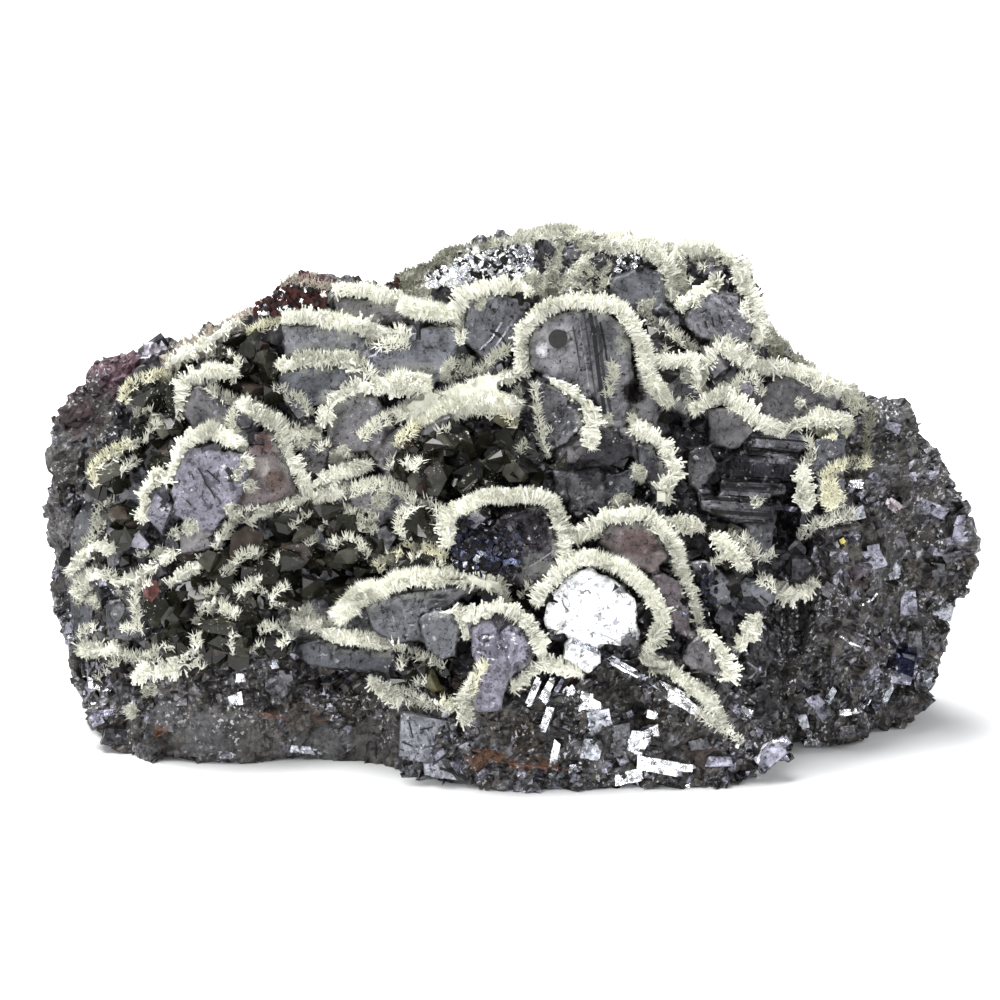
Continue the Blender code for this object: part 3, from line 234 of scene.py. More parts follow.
def add_piece(name, mesh_parts, material, nodes=(), smooth=False):
    """A mesh object with a tint, a shine and a graininess for each face, and nothing below the floor."""
    points, triangles, tints, shines, grains = mesh_parts
    points[:, 2] = np.maximum(points[:, 2], 0.0)
    mesh = bpy.data.meshes.new(name)
    mesh.vertices.add(len(points))
    mesh.vertices.foreach_set("co", points.astype(np.float32).ravel())
    mesh.loops.add(len(triangles) * 3)
    mesh.loops.foreach_set("vertex_index", triangles.astype(np.int32).ravel())
    mesh.polygons.add(len(triangles))
    mesh.polygons.foreach_set("loop_start", np.arange(len(triangles), dtype=np.int32) * 3)
    mesh.update(calc_edges=True)
    mesh.validate()
    tint = mesh.attributes.new("tint", "FLOAT_COLOR", "CORNER")
    colours = np.concatenate([tints, np.ones((len(tints), 1))], 1)
    tint.data.foreach_set("color", np.repeat(colours, 3, axis=0).astype(np.float32).ravel())
    for label, values in (("shine", shines), ("grain", grains)):
        attribute = mesh.attributes.new(label, "FLOAT", "CORNER")
        attribute.data.foreach_set("value", np.repeat(values, 3).astype(np.float32))
    if smooth:
        mesh.shade_smooth()
    else:
        mesh.shade_flat()
    mesh.materials.append(material)
    piece = bpy.data.objects.new(name, mesh)
    bpy.context.scene.collection.objects.link(piece)
    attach(piece, "root")
    if nodes:
        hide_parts(*nodes)


def plain_parts(points, faces, colour, shine, grain):
    """A mesh in one colour."""
    count = len(faces)
    return points, faces, np.tile(np.array(colour), (count, 1)), np.full(count, shine), np.full(count, grain)


def nodes_named(start):
    return sorted(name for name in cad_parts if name.startswith(start))


def tree_from(*parts):
    """One search tree of several meshes, each given as its corners and triangles."""
    corners, faces = [], []
    for points, triangles in parts:
        faces += (triangles + len(corners)).tolist()
        corners += points.tolist()
    return BVHTree.FromPolygons(corners, faces)


def tree_of(names):
    points, _, triangles = solid_arrays(names)
    return tree_from((points, triangles))


solids = tree_of(["ore_mass", "galena_druse"])


def sight_line(column, row):
    """The direction from the camera through a place in the photograph."""
    across = VIEW_RIGHT * ((column - FRAME_CENTRE) * PIXEL)
    up = VIEW_UP * ((FRAME_CENTRE - row) * PIXEL)
    return (VIEW_TARGET + across + up - VIEWPOINT).normalized()


def place_at(tree, column, row):
    """The point of the specimen that is seen at a place in the photograph."""
    return tree.ray_cast(VIEWPOINT, sight_line(column, row))[0]


def photo_places(points):
    """Where points are seen in the photograph: their columns and rows."""
    away = points - np.array(VIEWPOINT)
    scale = VIEW_DISTANCE / PIXEL / (away @ np.array(VIEW_AWAY))
    columns = FRAME_CENTRE + (away @ np.array(VIEW_RIGHT)) * scale
    rows = FRAME_CENTRE - (away @ np.array(VIEW_UP)) * scale
    return columns, rows


def facets(points, normals, size, slope, lift, seed):
    """Tilts each grain-sized patch of a surface its own way, so that it breaks into facets."""
    middle, cell = nearest_cells(points, size, seed)
    lean = cell_vectors(cell, seed + 10) * slope
    height = ((points - middle) * lean).sum(1) + (hashed(cell, seed + 20) - 0.5) * lift
    return points + normals * height[:, None]


def grain_axes(places, domain, seed):
    """The cleavage directions of the grain that each place belongs to."""
    _, cell = nearest_cells(places, domain, seed)
    parts = [hashed(cell, seed + 30 + part) * 2.0 - 1.0 for part in range(4)]
    return turns_from(np.stack(parts, 1)), cell


def cleaved(points, domain, step, amount, seed):
    """Moves a surface onto the cube-shaped cleavage steps of its grains."""
    axes, cell = grain_axes(points, domain, seed)
    steps = step * (0.6 + 0.9 * np.stack([hashed(cell, seed + 50 + axis) for axis in range(3)], 1))
    inside = np.einsum("nji,nj->ni", axes, points)
    stepped = np.einsum("nij,nj->ni", axes, np.round(inside / steps) * steps)
    return points * (1.0 - amount) + stepped * amount


# The big crystals' front faces in the solid: least area, and how they lean
LEAST_CRYSTAL_FACE = 14.0 * MM**2
FLAT_ANGLE = math.radians(2.0)
LEAST_FORWARD = 0.85
MOST_UPWARD = 0.3


def flat_patch(start, seen):
    """All the faces that lie flat against one another around the first one."""
    patch, waiting = [], [start]
    seen.add(start)
    while waiting:
        face = waiting.pop()
        patch.append(face)
        for edge in face.edges:
            for other in edge.link_faces:
                if other not in seen and other.normal.angle(face.normal, math.pi) < FLAT_ANGLE:
                    seen.add(other)
                    waiting.append(other)
    return patch


def crystal_faces():
    """The steep, flat faces of the big crystals: a tree of them, and the crystal that each belongs to."""
    bm = welded(["galena_druse"])
    seen = set()
    corners, number_of = [], []
    number = 0
    for start in bm.faces:
        if start in seen:
            continue
        patch = flat_patch(start, seen)
        steep = start.normal.y < -LEAST_FORWARD and abs(start.normal.z) < MOST_UPWARD
        if steep and sum(face.calc_area() for face in patch) > LEAST_CRYSTAL_FACE:
            corners += [[vert.co.copy() for vert in face.verts] for face in patch]
            number_of += [number] * len(patch)
            number += 1
    bm.free()
    points = [corner for face in corners for corner in face]
    triangles = [(3 * i, 3 * i + 1, 3 * i + 2) for i in range(len(corners))]
    return BVHTree.FromPolygons(points, triangles), np.array(number_of)


def nearest_crystal(tree, number_of, places, reach):
    """The crystal face nearest to each place and how far away it is; -1 where none is within reach."""
    numbers = np.full(len(places), -1)
    aways = np.full(len(places), reach)
    for index, place in enumerate(places.tolist()):
        _, _, face, away = tree.find_nearest(place, reach)
        if face is not None:
            numbers[index] = number_of[face]
            aways[index] = away
    return numbers, aways


def pick(codes, choices):
    """Colours, shines and graininess by share: each choice is (share, colour, shine, grain)."""
    shares = np.cumsum([choice[0] for choice in choices])
    index = np.searchsorted(shares / shares[-1], codes, side="right").clip(0, len(choices) - 1)
    colours = np.array([choice[1] for choice in choices])
    shines = np.array([choice[2] for choice in choices])
    grains = np.array([choice[3] for choice in choices])
    return colours[index], shines[index], grains[index]


def by_look(count, groups):
    """One row for each place of each group: the place, then the group's look of so many values."""
    return [(*place, *group[:count]) for group in groups for place in group[count:]]


def seen_depth(column, row):
    """How far from the camera the solids are at a place, or a little below it at the skyline."""
    for drop in range(0, 18, 3):
        found = place_at(solids, column, row + drop)
        if found is not None:
            return (found - VIEWPOINT).dot(VIEW_AWAY)
    return VIEW_DISTANCE


def facing_spots(spots, places, normals, seed, turned=0.3):
    """How far each place is inside each spot of the photograph, from 0 to 1; a spot has a ragged edge."""
    columns, rows = photo_places(places)
    depths = (places - np.array(VIEWPOINT)) @ np.array(VIEW_AWAY)
    ragged = 0.7 + 0.6 * smooth_noise(places, SPOT_RAGGEDNESS, seed)
    facing = normals @ np.array(VIEW_AWAY) < turned
    for column, row, reach in spots:
        behind = np.abs(depths - seen_depth(column, row)) / max(reach * PIXEL * SPOT_DEPTH, LEAST_SPOT_DEPTH)
        away = np.maximum(np.hypot(columns - column, rows - row) / reach, behind)
        yield np.clip((ragged - away) / SPOT_EDGE, 0.0, 1.0) * facing


def paint_spots(spots, places, normals, looks, seed):
    """Blends the colour, shine and grain of each named spot into the faces seen there."""
    inside = facing_spots([spot[:3] for spot in spots], places, normals, seed)
    for share, (_, _, _, colour, shine, grain) in zip(inside, spots):
        for values, value in zip(looks, (np.array(colour), shine, grain)):
            part = share[:, None] if values.ndim == 2 else share
            values += (value - values) * part


def scattered(points, normals, triangles, number, rng, wanted=None):
    """Places spread evenly over a surface, with the smoothed normal at each."""
    if wanted is not None:
        triangles = triangles[wanted]
    areas = areas_of(points, triangles)
    chosen = rng.choice(len(triangles), number, p=areas / areas.sum())
    one = np.sqrt(rng.random(number))[:, None]
    two = rng.random(number)[:, None]
    weights = (1.0 - one, one * (1.0 - two), one * two)
    corners = triangles[chosen]
    places = sum(weights[i] * points[corners[:, i]] for i in range(3))
    smooth = sum(weights[i] * normals[corners[:, i]] for i in range(3))
    return places, unit(smooth)


# Small crystals


def crystal_shape(corners):
    """The corners and triangles of the convex solid through some points."""
    bm = bmesh.new()
    for corner in corners:
        bm.verts.new(corner)
    bmesh.ops.convex_hull(bm, input=bm.verts)
    bmesh.ops.triangulate(bm, faces=bm.faces)
    bm.verts.index_update()
    points = np.array([vert.co for vert in bm.verts])
    faces = np.array([[vert.index for vert in face.verts] for face in bm.faces])
    bm.free()
    return points, faces


def cube_shape():
    return crystal_shape(list(product((-1.0, 1.0), repeat=3)))


def cut_cube_shape(cut=0.55):
    """A cube with its corners cut off, as galena grows."""
    corners = []
    for axis in range(3):
        for signs in product((-1.0, 1.0), repeat=3):
            corner = list(signs)
            corner[axis] *= cut
            corners.append(corner)
    return crystal_shape(corners)


def cut_tetrahedron_shape():
    """A tetrahedron with its corners cut off, as sphalerite grows."""
    corners = []
    for axis in range(3):
        for signs in product((-1.0, 1.0), repeat=3):
            if signs[0] * signs[1] * signs[2] > 0.0:
                corner = [sign * 0.42 for sign in signs]
                corner[axis] = signs[axis] * 1.2
                corners.append(corner)
    return crystal_shape(corners)


def turns_from(quaternions):
    """A turning matrix for each quaternion."""
    w, x, y, z = unit(quaternions).T
    rows = [
        [1 - 2 * (y * y + z * z), 2 * (x * y - z * w), 2 * (x * z + y * w)],
        [2 * (x * y + z * w), 1 - 2 * (x * x + z * z), 2 * (y * z - x * w)],
        [2 * (x * z - y * w), 2 * (y * z + x * w), 1 - 2 * (x * x + y * y)],
    ]
    return np.moveaxis(np.array(rows), 2, 0)


def grain_turns(places, domain, looseness, seed, rng):
    """Turns shared by all crystals of one grain of the ore, with a little looseness."""
    axes, _ = grain_axes(places, domain, seed)
    loose = rng.normal(size=(len(places), 4)) * looseness + np.array((1.0, 0.0, 0.0, 0.0))
    return axes @ turns_from(loose)


def grown(shape, places, turns, sizes):
    """Copies of a small crystal, each at its place, turned and sized."""
    corners, faces = shape
    points = np.einsum("nij,nkj->nki", turns, corners[None] * sizes[:, None, :]) + places[:, None, :]
    start = np.arange(len(places))[:, None, None] * len(corners)
    return points.reshape(-1, 3), (faces[None] + start).reshape(-1, 3)


def repeated(looks, times):
    """The looks of each crystal given to each of its faces."""
    return tuple(np.repeat(values, times, axis=0) for values in looks)


def picked(rng, number, palette, faces):
    """A look from a palette for each of a number of crystals, given to each of its faces."""
    return repeated(pick(rng.random(number), palette), len(faces) // number)


def uneven_sizes(usual, spread, limits, number, rng):
    """Sizes mostly near the usual one, and a few much smaller or larger."""
    return np.exp(rng.normal(math.log(usual), spread, number)).clip(*limits)


def sunk(places, normals, sizes, least, most, rng):
    """Places moved under the surface by a share of each crystal's size."""
    return places - normals * (sizes * rng.uniform(least, most, len(places)))[:, None]


def joined(parts):
    """Several meshes with their looks as one."""
    starts = np.cumsum([0] + [len(part[0]) for part in parts])
    moved = [(part[0], part[1] + start, *part[2:]) for part, start in zip(parts, starts)]
    return tuple(np.concatenate(values) for values in zip(*moved))


def cones(feet, tips, widths, rng):
    """Three-sided needles from feet to tips."""
    along = unit(tips - feet)
    side = unit(np.cross(along, rng.normal(size=along.shape)))
    other = np.cross(along, side)
    ring = []
    for corner in range(3):
        angle = corner * 2.0 * math.pi / 3.0
        ring.append(feet + (side * math.cos(angle) + other * math.sin(angle)) * widths[:, None] / 2.0)
    points = np.stack(ring + [tips], 1).reshape(-1, 3)
    start = np.arange(len(feet))[:, None] * 4
    sides = [start + np.array([[corner, (corner + 1) % 3, 3]]) for corner in range(3)]
    return points, np.stack(sides, 1).reshape(-1, 3)


# Materials

# Noise scales of the metals, as features per metre
PATCH_SCALE = 150.0
HOLE_SCALE = 520.0
PIT_SCALE = 900.0
CRACK_SCALE = 300.0
WAVE_SCALE = 500.0
FINE_SCALE = 2200.0
CRACK_WIDTH = 0.006


def new_material(name):
    material = bpy.data.materials.new(name)
    material.use_nodes = True
    tree = material.node_tree
    return material, tree, tree.nodes["Principled BSDF"]


def noise_node(tree, scale, detail, roughness=0.55):
    place = tree.nodes.new("ShaderNodeTexCoord")
    noise = tree.nodes.new("ShaderNodeTexNoise")
    noise.inputs["Scale"].default_value = scale
    noise.inputs["Detail"].default_value = detail
    noise.inputs["Roughness"].default_value = roughness
    tree.links.new(place.outputs["Object"], noise.inputs["Vector"])
    return noise.outputs["Fac"]


def grain_node(tree, scale):
    """Random grains: a colour for each one."""
    place = tree.nodes.new("ShaderNodeTexCoord")
    cells = tree.nodes.new("ShaderNodeTexVoronoi")
    cells.inputs["Scale"].default_value = scale
    tree.links.new(place.outputs["Object"], cells.inputs["Vector"])
    return cells.outputs["Color"]


def range_node(tree, source, low, high, start=0.0, end=1.0):
    node = tree.nodes.new("ShaderNodeMapRange")
    node.inputs["From Min"].default_value = start
    node.inputs["From Max"].default_value = end
    node.inputs["To Min"].default_value = low
    node.inputs["To Max"].default_value = high
    tree.links.new(source, node.inputs["Value"])
    return node.outputs["Result"]


def math_node(tree, operation, *sources, kind="ShaderNodeMath"):
    """A reckoning with other nodes' outputs and fixed values."""
    node = tree.nodes.new(kind)
    node.operation = operation
    for socket, source in zip(node.inputs, sources):
        if isinstance(source, bpy.types.NodeSocket):
            tree.links.new(source, socket)
        else:
            socket.default_value = source
    return node.outputs[0]


def vector_node(tree, operation, *sources):
    return math_node(tree, operation, *sources, kind="ShaderNodeVectorMath")


def scaled_node(tree, vector, amount):
    node = tree.nodes.new("ShaderNodeVectorMath")
    node.operation = "SCALE"
    tree.links.new(vector, node.inputs[0])
    tree.links.new(amount, node.inputs["Scale"])
    return node.outputs[0]


def attribute_node(tree, name, output):
    node = tree.nodes.new("ShaderNodeAttribute")
    node.attribute_name = name
    return node.outputs[output]


def shaded_tint(tree, amount):
    """The tint attribute, made lighter and darker by an amount from 0 up."""
    return scaled_node(tree, attribute_node(tree, "tint", "Color"), amount)


def bump_node(tree, height, distance, strength, below=None):
    bump = tree.nodes.new("ShaderNodeBump")
    bump.inputs["Distance"].default_value = distance
    bump.inputs["Strength"].default_value = strength
    tree.links.new(height, bump.inputs["Height"])
    if below is not None:
        tree.links.new(below, bump.inputs["Normal"])
    return bump.outputs["Normal"]


def leaning_grains(tree, scale, amount, surface):
    """The surface's normal, leaning its own way in each small grain."""
    centred = vector_node(tree, "SUBTRACT", grain_node(tree, scale), (0.5, 0.5, 0.5))
    leaning = vector_node(tree, "ADD", surface, scaled_node(tree, centred, amount))
    return vector_node(tree, "NORMALIZE", leaning)


def mixed_tint(tree, share, first, colour):
    """A colour that goes from the first to a fixed one as the share goes from 0 to 1."""
    mix = tree.nodes.new("ShaderNodeMix")
    mix.data_type = "RGBA"
    tree.links.new(share, mix.inputs["Factor"])
    tree.links.new(first, mix.inputs[6])
    mix.inputs[7].default_value = (*colour, 1.0)
    return mix.outputs[2]


def crack_shade(tree, scale):
    """A quarter on thin winding lines, and 1 beside them: painted shade of cracks."""
    on_line = math_node(tree, "COMPARE", noise_node(tree, scale, 3.0), 0.5, CRACK_WIDTH)
    return range_node(tree, on_line, 1.0, 0.25)


def sparkle_share(tree, grain, scale, rarity):
    """From 0 to 1 where the surface glitters: on rare small spots of the grainy patches."""
    patch = range_node(tree, noise_node(tree, PATCH_SCALE, 3.0), 0.0, 1.0, 0.46, 0.60)
    sparkle = noise_node(tree, scale, 2.0)
    sparkle = range_node(tree, sparkle, 0.0, 1.0, rarity, rarity + 0.06)
    sparkle = math_node(tree, "MULTIPLY", sparkle, grain)
    return math_node(tree, "MULTIPLY", sparkle, patch)


def uneven_amount(tree, grain, mottle_scale):
    """How light the metal is from place to place: mottled at random, with painted shade in its pits and
    cracks and, where grainy, in holed spots.
    """
    # Painted shade: the metal is darkened in its holed spots, pits and cracks
    hole_shade = range_node(tree, noise_node(tree, HOLE_SCALE, 4.0), 0.0, -0.9, 0.53, 0.59)
    hole_shade = math_node(tree, "MULTIPLY", hole_shade, grain)
    mottle = noise_node(tree, mottle_scale, 8.0, 0.75)
    mottle = range_node(tree, mottle, 0.35, 1.75, 0.36, 0.64)
    pit_shade = range_node(tree, noise_node(tree, PIT_SCALE, 4.0, 0.6), 1.0, 0.25, 0.58, 0.66)
    whole = math_node(tree, "ADD", hole_shade, 1.0)
    amount = math_node(tree, "MULTIPLY", mottle, pit_shade)
    amount = math_node(tree, "MULTIPLY", amount, whole)
    return math_node(tree, "MULTIPLY", amount, crack_shade(tree, CRACK_SCALE))


def metal_material(name, rough, mottle_scale, grain_scale, rarity):
    """A lead mineral. Shine takes it from dull to bright metal, and grain from smooth to sparkling."""
    material, tree, shader = new_material(name)
    grain = attribute_node(tree, "grain", "Fac")
    shine = attribute_node(tree, "shine", "Fac")
    sparkle = sparkle_share(tree, grain, grain_scale, rarity)
    amount = uneven_amount(tree, grain, mottle_scale)
    tint = mixed_tint(tree, sparkle, shaded_tint(tree, amount), SILVER)
    tree.links.new(tint, shader.inputs["Base Color"])
    metal = math_node(tree, "MAXIMUM", range_node(tree, shine, 0.0, 1.0, 0.1, 0.65), sparkle)
    tree.links.new(metal, shader.inputs["Metallic"])
    tree.links.new(range_node(tree, shine, rough, 0.22), shader.inputs["Roughness"])
    waves = bump_node(tree, noise_node(tree, WAVE_SCALE, 3.0), 0.5 * MM, 0.25)
    fine = bump_node(tree, noise_node(tree, FINE_SCALE, 5.0, 0.65), 0.25 * MM, 0.4, waves)
    tree.links.new(leaning_grains(tree, grain_scale, grain, fine), shader.inputs["Normal"])
    return material


def sphalerite_material():
    """Dark, glassy faces with patches of pale flecks: partly calcite dust, partly painted glints."""
    material, tree, shader = new_material("sphalerite")
    mottle = noise_node(tree, 500.0, 4.0)
    amount = range_node(tree, mottle, 0.5, 1.5, 0.3, 0.7)
    patch = range_node(tree, noise_node(tree, 170.0, 3.0), 0.0, 0.7, 0.52, 0.62)
    # Pale flecks in patches: partly calcite dust, partly painted glints
    pale_dust_and_glints = range_node(tree, noise_node(tree, 1700.0, 3.0, 0.7), 0.0, 1.0, 0.60, 0.66)
    pale_dust_and_glints = math_node(tree, "MULTIPLY", pale_dust_and_glints, patch)
    tint = mixed_tint(tree, pale_dust_and_glints, shaded_tint(tree, amount), CREAM_GREY)
    tree.links.new(tint, shader.inputs["Base Color"])
    shader.inputs["Specular IOR Level"].default_value = 0.35
    tree.links.new(range_node(tree, mottle, 0.06, 0.35), shader.inputs["Roughness"])
    grain = noise_node(tree, 900.0, 3.0)
    tree.links.new(bump_node(tree, grain, 0.1 * MM, 0.06), shader.inputs["Normal"])
    return material


def calcite_material():
    """Dull, mottled needles."""
    material, tree, shader = new_material("calcite")
    mottle = noise_node(tree, 260.0, 5.0)
    amount = range_node(tree, mottle, 0.85, 1.1, 0.3, 0.7)
    tree.links.new(shaded_tint(tree, amount), shader.inputs["Base Color"])
    shader.inputs["Roughness"].default_value = 0.55
    grain = noise_node(tree, 3000.0, 2.0)
    tree.links.new(bump_node(tree, grain, 0.1 * MM, 0.3), shader.inputs["Normal"])
    return material


def floor_material():
    material, tree, shader = new_material("floor")
    value = range_node(tree, noise_node(tree, 3.0, 2.0), 0.82, 0.84)
    tree.links.new(value, shader.inputs["Base Color"])
    shader.inputs["Roughness"].default_value = 0.9
    return material


# Broken ore

# Looks by share: colour, shine and grain
POOR_ORE_PALETTE = (
    (0.28, WALL_DARK, 0.2, 0.5),
    (0.22, WALL_BROWN, 0.1, 0.6),
    (0.22, WALL_GREY, 0.3, 0.7),
    (0.07, OLIVE_GREY, 0.2, 0.5),
    (0.21, LEAD, 0.5, 0.5),
)
RICH_ORE_PALETTE = (
    (0.16, WALL_DARK, 0.4, 0.6),
    (0.16, WALL_BROWN, 0.2, 0.7),
    (0.28, WALL_GREY, 0.5, 0.7),
    (0.28, LEAD, 0.6, 0.5),
    (0.12, LILAC, 0.6, 0.4),
)
BLOCK_PALETTE = (
    (0.26, WALL_GREY, 0.6, 0.4),
    (0.26, WALL_DARK, 0.5, 0.4),
    (0.18, LEAD, 0.7, 0.3),
    (0.22, WALL_BROWN, 0.2, 0.5),
    (0.05, LILAC, 0.7, 0.2),
    (0.03, SILVER, 1.0, 0.2),
)
BRIGHT_PALETTE = (
    (0.25, SILVER, 1.0, 0.4),
    (0.17, LILAC, 0.85, 0.3),
    (0.22, LEAD, 0.8, 0.3),
    (0.18, WALL_BROWN, 0.3, 0.5),
    (0.18, WALL_DARK, 0.4, 0.4),
)
PLATE_PALETTE = (
    (0.06, SILVER, 1.0, 0.6),
    (0.14, STEEL, 0.7, 0.5),
    (0.26, LILAC, 0.6, 0.5),
    (0.30, LEAD, 0.6, 0.5),
    (0.24, LEAD_DARK, 0.6, 0.5),
)
# The freshly broken, bright part of the wall: column, row and reach in pixels
BRIGHT_PARTS = [
    (540, 700, 34), (590, 690, 40), (640, 690, 36), (690, 730, 40), (620, 750, 40), (740, 755, 34),
    (430, 745, 38), (880, 560, 24), (905, 600, 24), (870, 700, 30), (235, 698, 18), (100, 690, 22),
    (108, 716, 16), (600, 655, 26), (680, 690, 24), (555, 755, 24),
]
# Colours that the photograph shows: colour, shine and grain, then column, row and reach of each spot
ORE_SPOTS = by_look(3, [
    (RED, 0.45, 0.2, (290, 300, 36)), (RED, 0.4, 0.2, (262, 312, 20), (384, 280, 24), (320, 292, 20)),
    ((0.05, 0.028, 0.03), 0.3, 0.4, (95, 350, 40)), ((0.035, 0.022, 0.024), 0.3, 0.5, (75, 400, 40)),
    ((0.07, 0.035, 0.045), 0.3, 0.3, (120, 365, 30)), ((0.44, 0.42, 0.47), 0.5, 0.6, (154, 354, 15)),
    ((0.10, 0.06, 0.075), 0.4, 0.5, (110, 372, 14)), (RUST, 0.05, 0.5, (484, 754, 6), (498, 758, 6),
     (512, 764, 7), (526, 766, 6), (542, 764, 6), (556, 768, 5), (270, 716, 6), (292, 722, 6),
     (315, 712, 5), (160, 732, 7), (570, 683, 5), (732, 784, 6)), (BRASS, 0.5, 0.0, (842, 544, 4)),
    (RED, 0.2, 0.5, (855, 575, 10), (716, 478, 6)), ((0.02, 0.024, 0.05), 0.6, 0.5, (904, 660, 16)),
    ((0.085, 0.082, 0.082), 0.4, 1.0, (800, 630, 34)), ((0.075, 0.073, 0.078), 0.4, 1.0, (775, 650, 20)),
    (WALL_GREY, 0.2, 0.5, (210, 735, 30)), ((0.075, 0.068, 0.064), 0.2, 0.5, (260, 742, 30)),
    (WALL_GREY, 0.2, 0.4, (320, 745, 30)), ((0.05, 0.047, 0.045), 0.2, 0.4, (370, 742, 26)),
    (WALL_GREY, 0.2, 0.4, (165, 712, 16)), ((0.07, 0.06, 0.052), 0.2, 0.8, (300, 716, 22)),
    (WALL_BROWN, 0.2, 0.5, (124, 733, 14)), (BROWN, 0.2, 0.5, (700, 750, 20), (655, 715, 14)),
    ((0.05, 0.046, 0.043), 0.2, 0.6, (60, 470, 26)), ((0.07, 0.066, 0.065), 0.2, 0.5, (58, 530, 26)),
    ((0.05, 0.046, 0.043), 0.2, 0.6, (66, 590, 22)), (WALL_BROWN, 0.2, 0.8, (500, 720, 20)),
    ((0.06, 0.056, 0.045), 0.2, 0.8, (485, 690, 16)), ((0.05, 0.038, 0.03), 0.2, 0.8, (530, 735, 18)),
])
# Where the wall is smooth, without blocks: column, row and reach in pixels
SMOOTH_PARTS = [
    (200, 735, 34), (240, 742, 34), (290, 748, 34), (340, 745, 34), (165, 716, 18), (320, 720, 24),
    (240, 716, 20), (390, 740, 20), (800, 630, 34), (770, 640, 24), (500, 745, 22),
]
SHARPEST_WALL = 0.25
ORE_PATCH = 11.0 * MM
RICH_ABOVE = 0.68
ORE_GRAIN = 11.0 * MM
ORE_SEED = 61
ORE_SPOT_SEED = 91
CRUST_SEED = 73
# Soft lumps: size, middle value, height and seed
ORE_LUMPS = (8.0 * MM, 0.55, 1.6 * MM, 25)
SMOOTH_WAVES = (1.6 * MM, 0.5, 0.5 * MM, 26)
# Facets: size, slope, lift and seed
LARGE_FACETS = (7.5 * MM, 0.25, 0.5 * MM, 11)
MIDDLE_FACETS = (3.4 * MM, 0.3, 0.3 * MM, 41)
SMALL_FACETS = (1.3 * MM, 0.4, 0.3 * MM, 53)
# Cleavage steps: grain size, step, how far the surface moves onto them, and seed
ORE_STEPS = (ORE_GRAIN, 1.3 * MM, 0.9, ORE_SEED)
# Size of the soft noise that mixes steps and small facets in, and its values above which they show
ORE_MIXTURE = 6.0 * MM
STEPPED_ABOVE = 0.60
SMALL_ABOVE = 0.30
FINE_GRAIN = 0.9 * MM
# Flat cleavage faces in the wall: colour, shine, then column, row, length, width and turn in degrees
PLATES = by_look(2, [
    (SILVER, 1.0, (533, 692, 34, 9, 68), (546, 692, 32, 11, 64)), (LILAC, 0.9, (558, 688, 24, 6, 60)),
    (SILVER, 1.0, (587, 703, 40, 24, -20), (570, 690, 14, 10, 40), (546, 722, 26, 10, 72),
     (555, 752, 26, 10, 78)), (STEEL, 0.9, (577, 768, 18, 9, 10)), (SILVER, 1.0, (640, 742, 22, 30, -20),
     (652, 730, 20, 14, 10), (655, 766, 44, 14, -10), (628, 777, 38, 12, 12)),
    (STEEL, 0.8, (600, 724, 30, 26, 10)), (LEAD, 0.7, (620, 742, 24, 36, 5)),
    (STEEL, 0.7, (592, 748, 22, 24, -10)), ((0.17, 0.175, 0.195), 0.55, (432, 740, 74, 50, -6)),
    (STEEL, 0.6, (446, 772, 44, 18, -8)), (LEAD, 0.7, (412, 770, 26, 18, 20)),
    (SILVER, 1.0, (610, 660, 60, 9, -30), (668, 693, 46, 20, -32), (688, 706, 30, 12, -36),
     (741, 711, 30, 11, -20)), (LILAC, 0.7, (774, 752, 40, 24, 34)),
    (SILVER, 1.0, (651, 714, 16, 10, -20), (684, 768, 24, 9, -5)), (LEAD, 0.8, (700, 744, 22, 12, 10)),
    (LILAC, 0.7, (720, 762, 26, 12, 0)), (STEEL, 0.7, (803, 721, 11, 16, 20)),
    (LILAC, 0.6, (819, 707, 30, 16, -52)), (SILVER, 0.9, (848, 712, 22, 7, 6)),
    (STEEL, 0.9, (884, 700, 46, 9, 64), (872, 694, 34, 7, 58)), (LILAC, 0.9, (863, 704, 26, 6, 62)),
    (STEEL, 0.9, (831, 695, 18, 10, 60)), (LEAD, 0.7, (847, 732, 20, 16, 10)),
    (LILAC, 0.6, (872, 559, 36, 26, 8)), (STEEL, 0.6, (894, 571, 16, 18, 10)),
    (LILAC, 0.6, (908, 601, 24, 30, 0)), (STEEL, 0.6, (942, 611, 26, 20, -20)),
    (LILAC, 0.6, (959, 525, 12, 28, -15), (932, 510, 38, 13, -22)), (LEAD, 0.6, (952, 558, 24, 14, 10)),
    ((0.40, 0.35, 0.37), 0.8, (892, 505, 22, 12, -35)), (STEEL, 0.6, (856, 514, 20, 14, 10)),
    (SILVER, 1.0, (856, 484, 16, 12, 0)), (LILAC, 0.6, (893, 428, 18, 12, -20)),
    (LILAC, 0.9, (110, 712, 44, 9, 8)), (LILAC, 0.8, (98, 721, 16, 11, 20)),
    (SILVER, 1.0, (240, 677, 11, 12, 0), (234, 700, 18, 16, 20)),
    (LEAD_DARK, 0.5, (117, 736, 30, 20, -5)), (SILVER, 1.0, (91, 682, 7, 14, 0)),
    (LEAD, 0.7, (278, 684, 28, 32, 0)), (STEEL, 0.8, (303, 750, 28, 7, -5)),
    (STEEL, 0.9, (272, 664, 16, 14, 0)), (LEAD, 0.6, (900, 540, 16, 20, 20), (938, 575, 16, 24, 0)),
    (LEAD_DARK, 0.6, (760, 700, 26, 30, 40), (800, 684, 24, 18, -20), (880, 640, 24, 14, 20)),
    (LEAD, 0.5, (830, 590, 26, 16, -30)), (LEAD, 0.6, (915, 640, 14, 20, 0)),
    (LEAD_DARK, 0.7, (920, 680, 12, 24, 10)), (LEAD, 0.7, (815, 740, 24, 16, -10)),
])
PLATE_LEAN = math.radians(12.0)
PLATE_TURN = math.radians(4.0)
PLATE_DEPTH = 3.0 * MM
PLATE_GRAIN = 0.55
PLATE_TRIES = 4200
POOR_PLATE_SHARE = 0.25
PLATE_SIZES = (0.8 * MM, 5.0 * MM)
USUAL_PLATE = 2.2 * MM
# Length, width and thickness of the scattered plates, as shares of their size
PLATE_SHARES = ((0.8, 1.5), (0.4, 1.0), (0.5, 0.9))
PLATE_SHAPES = 12
# How nearly a plate's cleavage has to lie along the surface, as a cosine
LEAST_PLATE_LEAN = 0.86


